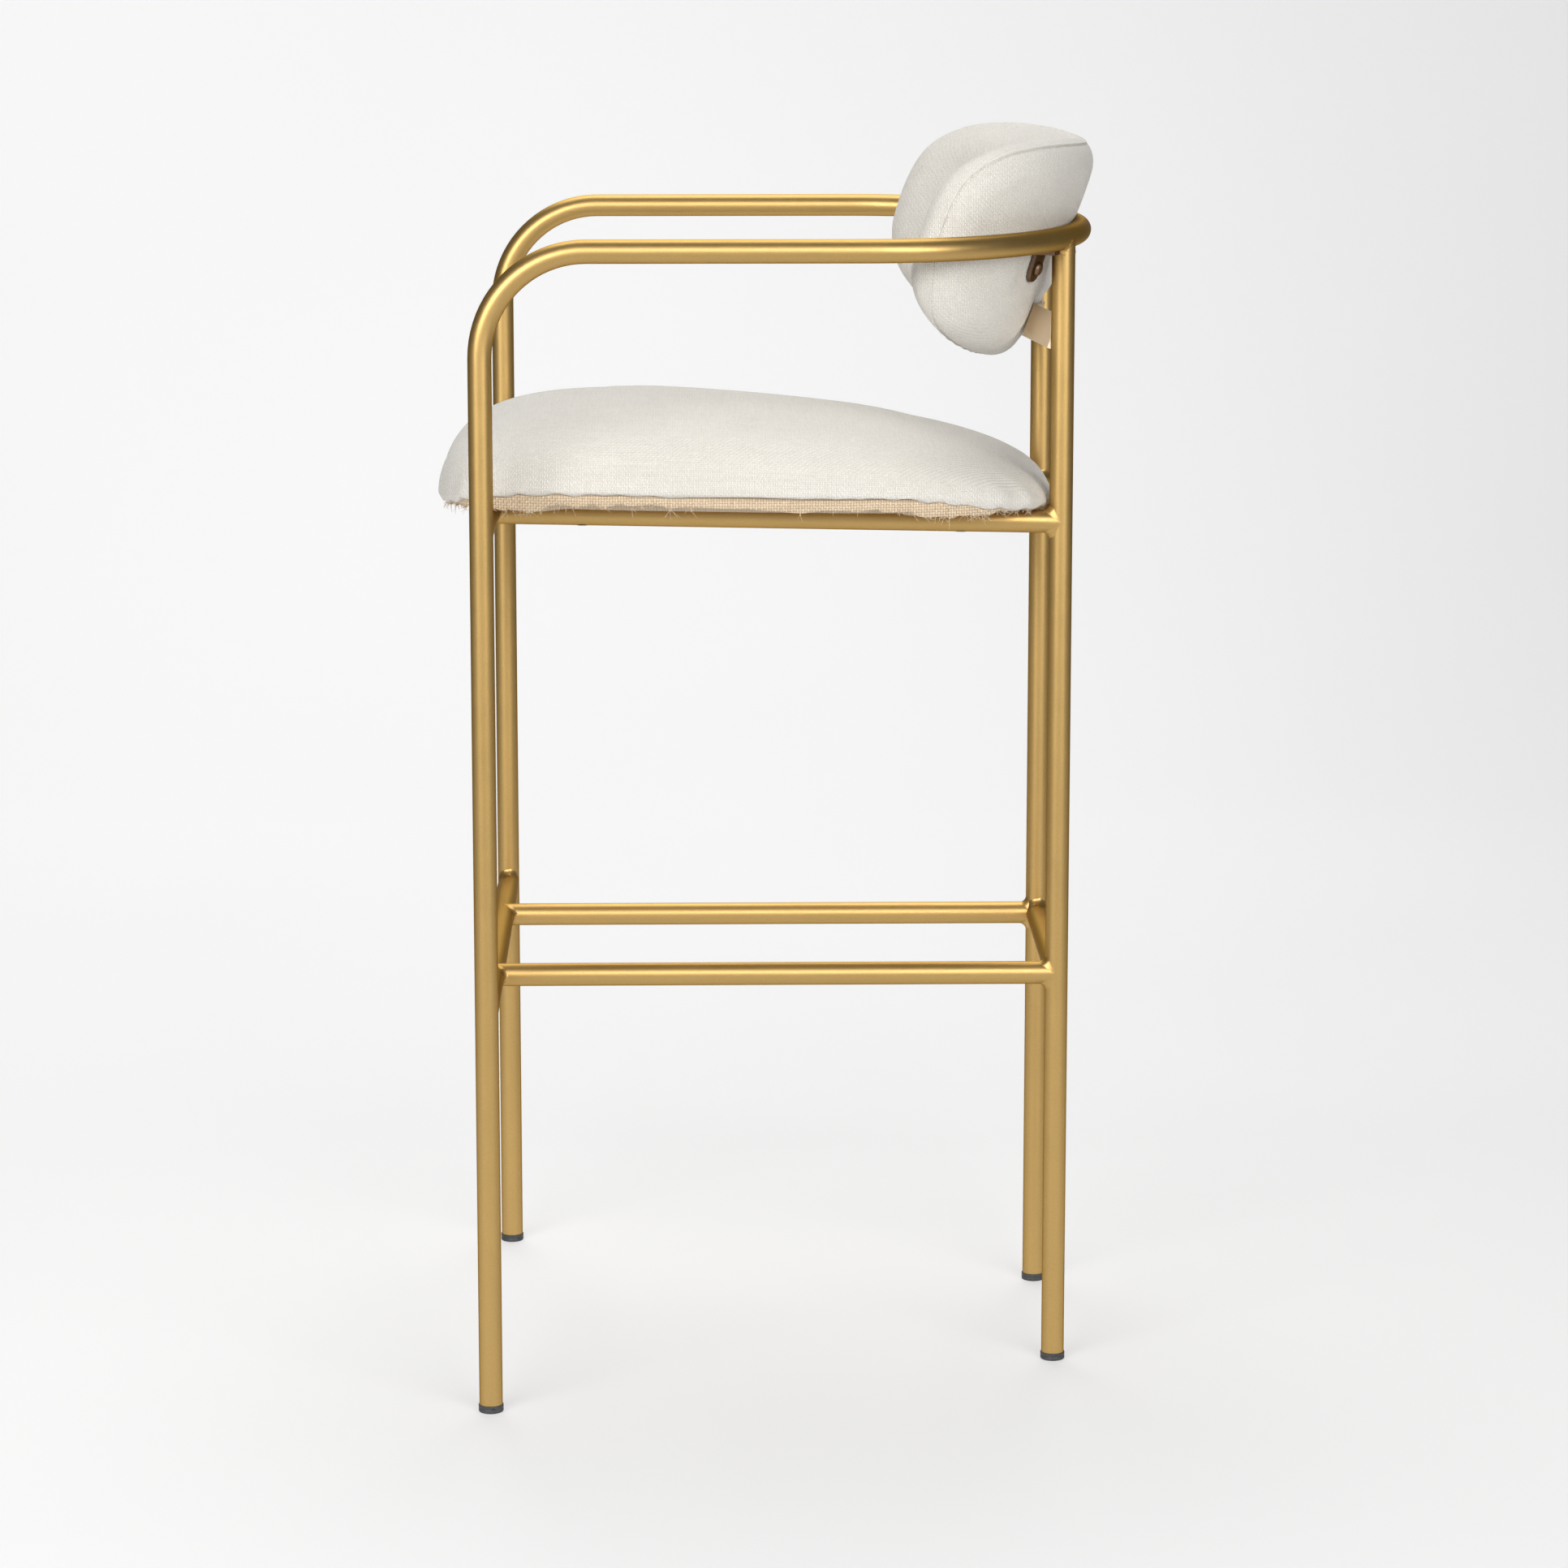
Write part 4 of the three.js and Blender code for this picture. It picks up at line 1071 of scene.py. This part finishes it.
HOOP_LINE = np.array([hoop_point(a) for a in np.linspace(0.15, math.pi - 0.15, 600)])
HOOP_INWARD = np.gradient(HOOP_LINE, axis=0)[:, [1, 0, 2]] * [-1, 1, 0]
HOOP_INWARD /= np.linalg.norm(HOOP_INWARD, axis=1)[:, None]
HOOP_PRESS_SOFT = 1.2 * MM
HOOP_GAP = 0.25 * MM


def press_hoop(points):
    """Points moved out of the hoop's tube, which the stuffed back leans on."""
    out = points.copy()
    reach = TUBE_R + HOOP_GAP
    level = np.abs(points[:, 2] - ARM_Z) < 2 * TUBE_R
    near = np.flatnonzero(level & (points[:, 1] > HOOP_START_Y + 60 * MM))
    away = points[near][:, None, :2] - HOOP_LINE[None, :, :2]
    nearest = np.argmin((away**2).sum(2), axis=1)
    inward = HOOP_INWARD[nearest]
    depth = ((points[near] - HOOP_LINE[nearest]) * inward).sum(1)
    lift = np.abs(points[near, 2] - ARM_Z)
    bend = reach * math.sqrt(0.5)
    needed = np.where(lift < bend, np.sqrt(np.maximum(reach**2 - lift**2, 0)), 2 * bend - lift)
    gap = depth - needed
    pushed = needed + 0.5 * (gap + np.sqrt(gap**2 + HOOP_PRESS_SOFT**2))
    out[near] += inward * np.maximum(pushed - depth, 0)[:, None]
    return out


PLATE_HALF_MAX = 84 * MM
PLATE_SINK = 2.6 * MM
PLATE_SOFT = 11 * MM


def press_plates(points, normals):
    """Points sunk a little where the tabs and the lower bracket bear on the cloth."""
    out = points.copy()
    for node in ("back_tab_left", "back_tab_right", "back_lower_bracket"):
        low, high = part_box(node)
        half_x = min((high.x - low.x) / 2, PLATE_HALF_MAX)
        aside = np.maximum(np.abs(points[:, 0] - centre(node).x) - half_x, 0)
        over = np.maximum(np.maximum(low.z - points[:, 2], points[:, 2] - high.z), 0)
        held = 1 - smooth(np.hypot(aside, over) / PLATE_SOFT)
        out -= normals * (PLATE_SINK * held)[:, None]
    return out


def pad_wrinkles(points, normals):
    """Slack in the cloth: long soft waves and faint pulls."""
    x, y, z = points.T
    slack = 0.30 * np.sin(46 * x + 31 * z + 1.2) * np.sin(58 * z - 21 * y)
    slack += 0.16 * np.sin(120 * x - 75 * z + 40 * y) + 0.10 * np.sin(190 * z + 90 * x + 2)
    return points + normals * (slack * MM)[:, None]


def simulate_pad(sides):
    """The panels swollen as one cushion, held along the seam, and where their poles went."""
    small = {f: rings - normals * PAD_INSET for f, (rings, normals) in sides.items()}
    seam_ring = 0.5 * (small[1][-1] + small[-1][-1])
    poles = {f: pad_pole(f) - sides[f][1][0].mean(0) * PAD_INSET for f in (1, -1)}
    part = pole_skin([*small[1][:-1], seam_ring, *small[-1][-2::-1]], poles[1], poles[-1])
    seam_tree = tree_of(small[1][-1])

    def held(points):
        return [np.clip(1 - seam_tree.find(p)[2] / SEAM_HOLD, 0, 1) for p in points]

    start, moved = inflate("pad_sim", part, held, 5 * MM)
    out = {}
    for facing, (rings, normals) in sides.items():
        rows = carried(np.concatenate([*small[facing], [poles[facing]]]), start, moved)
        pole = fuller(pad_pole(facing), rows[-1], normals[0].mean(0))
        swollen = fuller(rings, rows[:-1].reshape(rings.shape), normals)
        share = np.clip(np.arange(len(rings), 0, -1) - 1, 0, SEAM_BLEND) / SEAM_BLEND
        swollen = rings + (swollen - rings) * share[:, None, None]
        out[facing] = swollen, pole
    return out


def shaped_ring(ring, rim, normal, facing):
    """One ring with its wrinkles, the seam's groove and puckers, and the frame's pressure."""
    distance = np.linalg.norm(ring - rim, axis=1)
    far = smooth(distance / WRINKLES_FROM)[:, None]
    ring = ring * (1 - far) + pad_wrinkles(ring, normal) * far
    around = spokes(PAD_SPOKES)
    pucker = SEAM_PUCKER * np.sin(around * SEAM_PUCKERS + 2 * np.sin(9 * around))
    pull = (SEAM_GROOVE + pucker) * hill(distance / SEAM_WIDTH)
    pull += (SEAM_DIP + pucker) * hill(distance / (5 * SEAM_WIDTH))
    ring = ring - normal * pull[:, None]
    return press_hoop(press_plates(ring, normal) if facing < 0 else ring)


def build_pad():
    sides = {}
    for facing in (1, -1):
        rings = np.array(pad_rings(facing))
        sides[facing] = rings, ring_normals(rings, pad_pole(facing))
    swollen = simulate_pad(sides)
    seam_depth = PAD_THICK / 2 * (1 + np.sin(seam_turns()) / (1 + PAD_CROWN))
    for facing, label in ((1, "front"), (-1, "rear")):
        normals = sides[facing][1]
        rings, pole = swollen[facing]
        shaped = [shaped_ring(r, rings[-1], n, facing) for r, n in zip(rings, normals)]
        middle_depth = PAD_THICK / 2 + facing * 0.2 * MM
        closing = []
        for share in (0.95, 0.75, 0.4):
            depth = middle_depth + (seam_depth - middle_depth) * smooth((share - 0.4) / 0.6)
            closing.append(pad_point(share * 0.97 * PAD_ACROSS, share * 0.97 * PAD_UP, depth))
        hub = pad_point(np.zeros(1), np.zeros(1), np.full(1, middle_depth))[0]
        part = pole_skin([*shaped, *closing], pole, hub)
        piece = add_object(f"back_pad_{label}", [part], LINEN, 60)
        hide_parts(f"back_pad_{label}_cover", f"back_pad_{label}_foam")
        if facing < 0:
            build_stitches(shaped, normals)


STITCH_PITCH = 2.9 * MM
STITCH_FROM_SEAM = 2.2 * MM
STITCH_RISE = 0.12 * MM
STITCH_SINK = 0.45 * MM
STITCH_RADII = np.array([0.12, 0.2, 0.23, 0.2, 0.12]) * MM


def build_stitches(rings, normals):
    """A row of short stitches beside the seam, each sunk a little into the cloth."""
    distances = [np.linalg.norm(ring - rings[-1], axis=1).mean() for ring in rings]
    row = int(np.argmin(np.abs(np.array(distances) - STITCH_FROM_SEAM)))
    line, out = (np.concatenate([values[row], values[row][:1]]) for values in (rings, normals))
    reach = np.concatenate([[0], np.cumsum(np.linalg.norm(np.diff(line, axis=0), axis=1))])
    count = int(reach[-1] / STITCH_PITCH)
    parts = []
    for i in range(count):
        path = []
        for t in np.linspace(-0.32, 0.32, 5):
            s = (i * reach[-1] / count + t * STITCH_PITCH) % reach[-1]
            place, normal = (
                np.array([np.interp(s, reach, part) for part in values.T]) for values in (line, out)
            )
            path.append(place + unit(normal) * (STITCH_RISE - STITCH_SINK * (2 * t) ** 2))
        parts.append(tube(path, STITCH_RADII, sides=6))
    add_object("back_pad_stitches", parts, THREAD)


# ---- fixings ----

TAB_ANGLE = math.radians(24.4)
SCREW_HEAD_R = 6 * MM
SCREW_HEAD_HEIGHT = 3.6 * MM
SHANK_R = 2.5 * MM
RECESS_REACH = SCREW_HEAD_R * 0.56
RECESS_HALF = SCREW_HEAD_R * 0.14
RECESS_DEPTH = 0.7
DOME_POWER = 2.6


def build_round_screw(node):
    """A round-headed wood screw with a cross recess, in the place of a tab screw."""
    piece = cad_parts[node]
    corners = np.array([piece.matrix_world @ v.co for v in piece.data.vertices])
    side = 1 if corners[:, 0].mean() > 0 else -1
    back = math.cos(TAB_ANGLE)
    axis = unit(np.array([side * math.sin(TAB_ANGLE), back, -back * math.tan(PAD_LEAN)]))
    along = corners @ axis
    across = corners - np.outer(along, axis)
    core = (across.min(0) + across.max(0)) / 2
    tip, top = along.min(), along.max()
    under = top - SCREW_HEAD_HEIGHT
    turn = turned_to(axis)
    angles = spokes(120)
    rings = []
    for r in np.linspace(0.04, 1, 26):
        x, y = (np.abs(r * SCREW_HEAD_R * wave(angles + 0.5)) for wave in (np.cos, np.sin))
        arms = [
            smooth((RECESS_HALF - a) / RECESS_HALF * 2) * smooth((RECESS_REACH - b) / RECESS_HALF)
            for a, b in ((x, y), (y, x))
        ]
        dome = math.sqrt(max(0, 1 - r**DOME_POWER)) - RECESS_DEPTH * np.maximum(*arms)
        rings.append(circle(r * SCREW_HEAD_R, under, angles))
        rings[-1][:, 2] += SCREW_HEAD_HEIGHT * dome
    for r, h in ((SHANK_R, under), (SHANK_R, tip + 5 * MM), (SHANK_R * 0.15, tip + 0.5 * MM)):
        rings.append(circle(r, h, angles))
    rings = [ring @ turn.T + core for ring in rings]
    first = turn @ np.array([0, 0, under + SCREW_HEAD_HEIGHT * 0.3]) + core
    last = turn @ np.array([0, 0, tip]) + core
    part = pole_skin(rings, first, last)
    made = add_object(node + "_turned", [part], BRONZE, 50)
    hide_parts(node)


def dress(node, material, bevel_width=0.0):
    """Gives a CAD node its material, and rounds its edges where a width is given."""
    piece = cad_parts[node]
    piece.data.materials.clear()
    piece.data.materials.append(material)
    if bevel_width:
        bevel = piece.modifiers.new("soft_edges", "BEVEL")
        bevel.width = bevel_width
        bevel.segments = 2
        bevel.limit_method = "ANGLE"
        bevel.angle_limit = math.radians(40)


def build_fixings():
    for name, _ in SIDES:
        dress(f"back_tab_{name}", BRONZE, 0.5 * MM)
    # The lower bracket's paler brass is a painted reflection of the white cushion and backdrop.
    dress("back_lower_bracket", BRASS_WITH_PAINTED_REFLECTION, 0.5 * MM)
    for node in list(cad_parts):
        if node.startswith(("seat_screw", "seat_tee_nut", "bracket_screw")):
            dress(node, STEEL, 0.3 * MM)
        if node.startswith("tab_screw"):
            build_round_screw(node)
    for node in ("seat_board", "back_pad_board"):
        dress(node, PLYWOOD)


# ---- the studio ----

CAMERA_PLACE = (4.1701, -0.064, 1.259)
CAMERA_YAW = 0.0195
CAMERA_PITCH = 0.1864
SENSOR = 36
CAMERA_LENS = 6144.9 / 1932 * SENSOR


def aim(name, data, place, ahead, up):
    """Puts a camera or a light in the scene, looking ahead."""
    made = bpy.data.objects.new(name, data)
    made.location = place
    made.rotation_mode = "QUATERNION"
    made.rotation_quaternion = ahead.to_track_quat("-Z", up)
    bpy.context.scene.collection.objects.link(made)
    return made


def build_camera():
    data = bpy.data.cameras.new("camera")
    data.sensor_width = SENSOR
    data.lens = CAMERA_LENS
    level = math.cos(CAMERA_PITCH)
    ahead = Vector((
        -math.cos(CAMERA_YAW) * level,
        math.sin(CAMERA_YAW) * level,
        -math.sin(CAMERA_PITCH),
    ))
    bpy.context.scene.camera = aim("camera", data, CAMERA_PLACE, ahead, "Y")


def area_light(name, place, target, size, power):
    data = bpy.data.lights.new(name, "AREA")
    data.shape = "RECTANGLE"
    data.size, data.size_y = size
    data.energy = power
    aim(name, data, place, Vector(target) - Vector(place), "Z")


FLOOR_REACH = 12.0
WALL_X = -3.8
WALL_TOP = 5.0
SWEEP_RADIUS = 1.6
WHITE = (1, 1, 1)
WORLD_STRENGTH = 0.12
# Each light: its name, its place, what it points at, its size in metres and its watts.
LIGHTS = (
    ("key_left", (3.2, -1.9, 1.95), (0, 0, 0.6), (1.3, 2.8), 98),
    ("key_right", (3.3, 1.7, 1.9), (0, 0, 0.6), (1.1, 2.8), 88),
    ("front", (4.4, 0.0, 2.15), (0, 0, 0.6), (2.6, 2.0), 16),
    ("overhead", (-1.5, 0.0, 2.9), (0, 0, 0.7), (3.0, 2.2), 60),
)


def studio_paper():
    """Pale paper with a glow of its own that is painted light, brighter to the left and up and
    weaker far out, and painted shade that darkens it towards the camera.
    """
    material, tree, shader, place = new_material("studio_paper")
    cloud = map_range(tree, noise_node(tree, place, 0.8, 2.0), 0.3, 0.7, 0.0, 1.0)
    toward, across, height = add_node(tree, "SeparateXYZ", place).outputs
    # Painted light: the glow stands in for the lamps' light falling on the paper, stronger from the
    # left.
    glow = map_range(tree, across, -1.3, 1.3, 0.605, 0.465)
    paper = mix_colour(tree, cloud, (0.45,) * 3, (0.47,) * 3)
    # Painted shade: the paper turns darker towards the camera, where the light falls off.
    near = map_range(tree, toward, 0.8, 1.8, 0.0, 1.0)
    colour = mix_colour(tree, near, paper, (0.36,) * 3)
    inside = map_range(tree, math_node(tree, "ABSOLUTE", across), 1.3, 1.9, 1.0, 0.0)
    outer = map_range(tree, toward, -1.5, 0.8, 0.06, 0.5)
    rest = math_node(tree, "SUBTRACT", 1.0, outer)
    for fade in (
        math_node(tree, "MULTIPLY_ADD", inside, rest, outer),
        map_range(tree, toward, -2.2, -0.6, 1.0, 0.84),
        map_range(tree, height, 0.0, 1.5, 0.91, 1.09),
        map_range(tree, toward, 0.7, 1.5, 1.0, 0.5),
    ):
        glow = math_node(tree, "MULTIPLY", glow, fade)
    set_inputs(tree, shader, Base_Color=colour, Emission_Color=WHITE, Emission_Strength=glow)
    set_inputs(tree, shader, Roughness=0.95, Specular_IOR_Level=0.1)
    return material


def build_studio():
    """A pale sweep from the floor up behind the stool, and soft boxes round the camera."""
    bend_x = WALL_X + SWEEP_RADIUS
    profile = [(FLOOR_REACH, 0.0), (bend_x, 0.0)]
    for angle in np.linspace(0, math.pi / 2, 24)[1:]:
        rise = SWEEP_RADIUS * (1 - math.cos(angle))
        profile.append((bend_x - SWEEP_RADIUS * math.sin(angle), rise))
    profile.append((WALL_X, WALL_TOP))
    points = [(x, side * FLOOR_REACH, z) for x, z in profile for side in (-1, 1)]
    faces = [(i, i + 2, i + 3, i + 1) for i in range(0, len(points) - 2, 2)]
    mesh = bpy.data.meshes.new("studio_sweep")
    mesh.from_pydata(points, [], faces)
    mesh.shade_smooth()
    floor = bpy.data.objects.new("studio_sweep", mesh)
    bpy.context.scene.collection.objects.link(floor)
    mesh.materials.append(studio_paper())

    for light in LIGHTS:
        area_light(*light)
    world = bpy.data.worlds.new("studio")
    world.use_nodes = True
    background = world.node_tree.nodes["Background"]
    set_inputs(world.node_tree, background, Color=WHITE, Strength=WORLD_STRENGTH)
    scene = bpy.context.scene
    scene.world = world
    scene.view_settings.view_transform = "Standard"
    scene.cycles.use_denoising = True


build_camera()
build_studio()
build_arms()
build_rear_legs()
build_rails("seat", SEAT_RAIL_FRONT_Z, SEAT_RAIL_REAR_Z)
build_rails("foot", FOOT_RAIL_Z, FOOT_RAIL_Z)
build_foot_caps()
build_burlap(build_seat())
build_pad()
build_fixings()
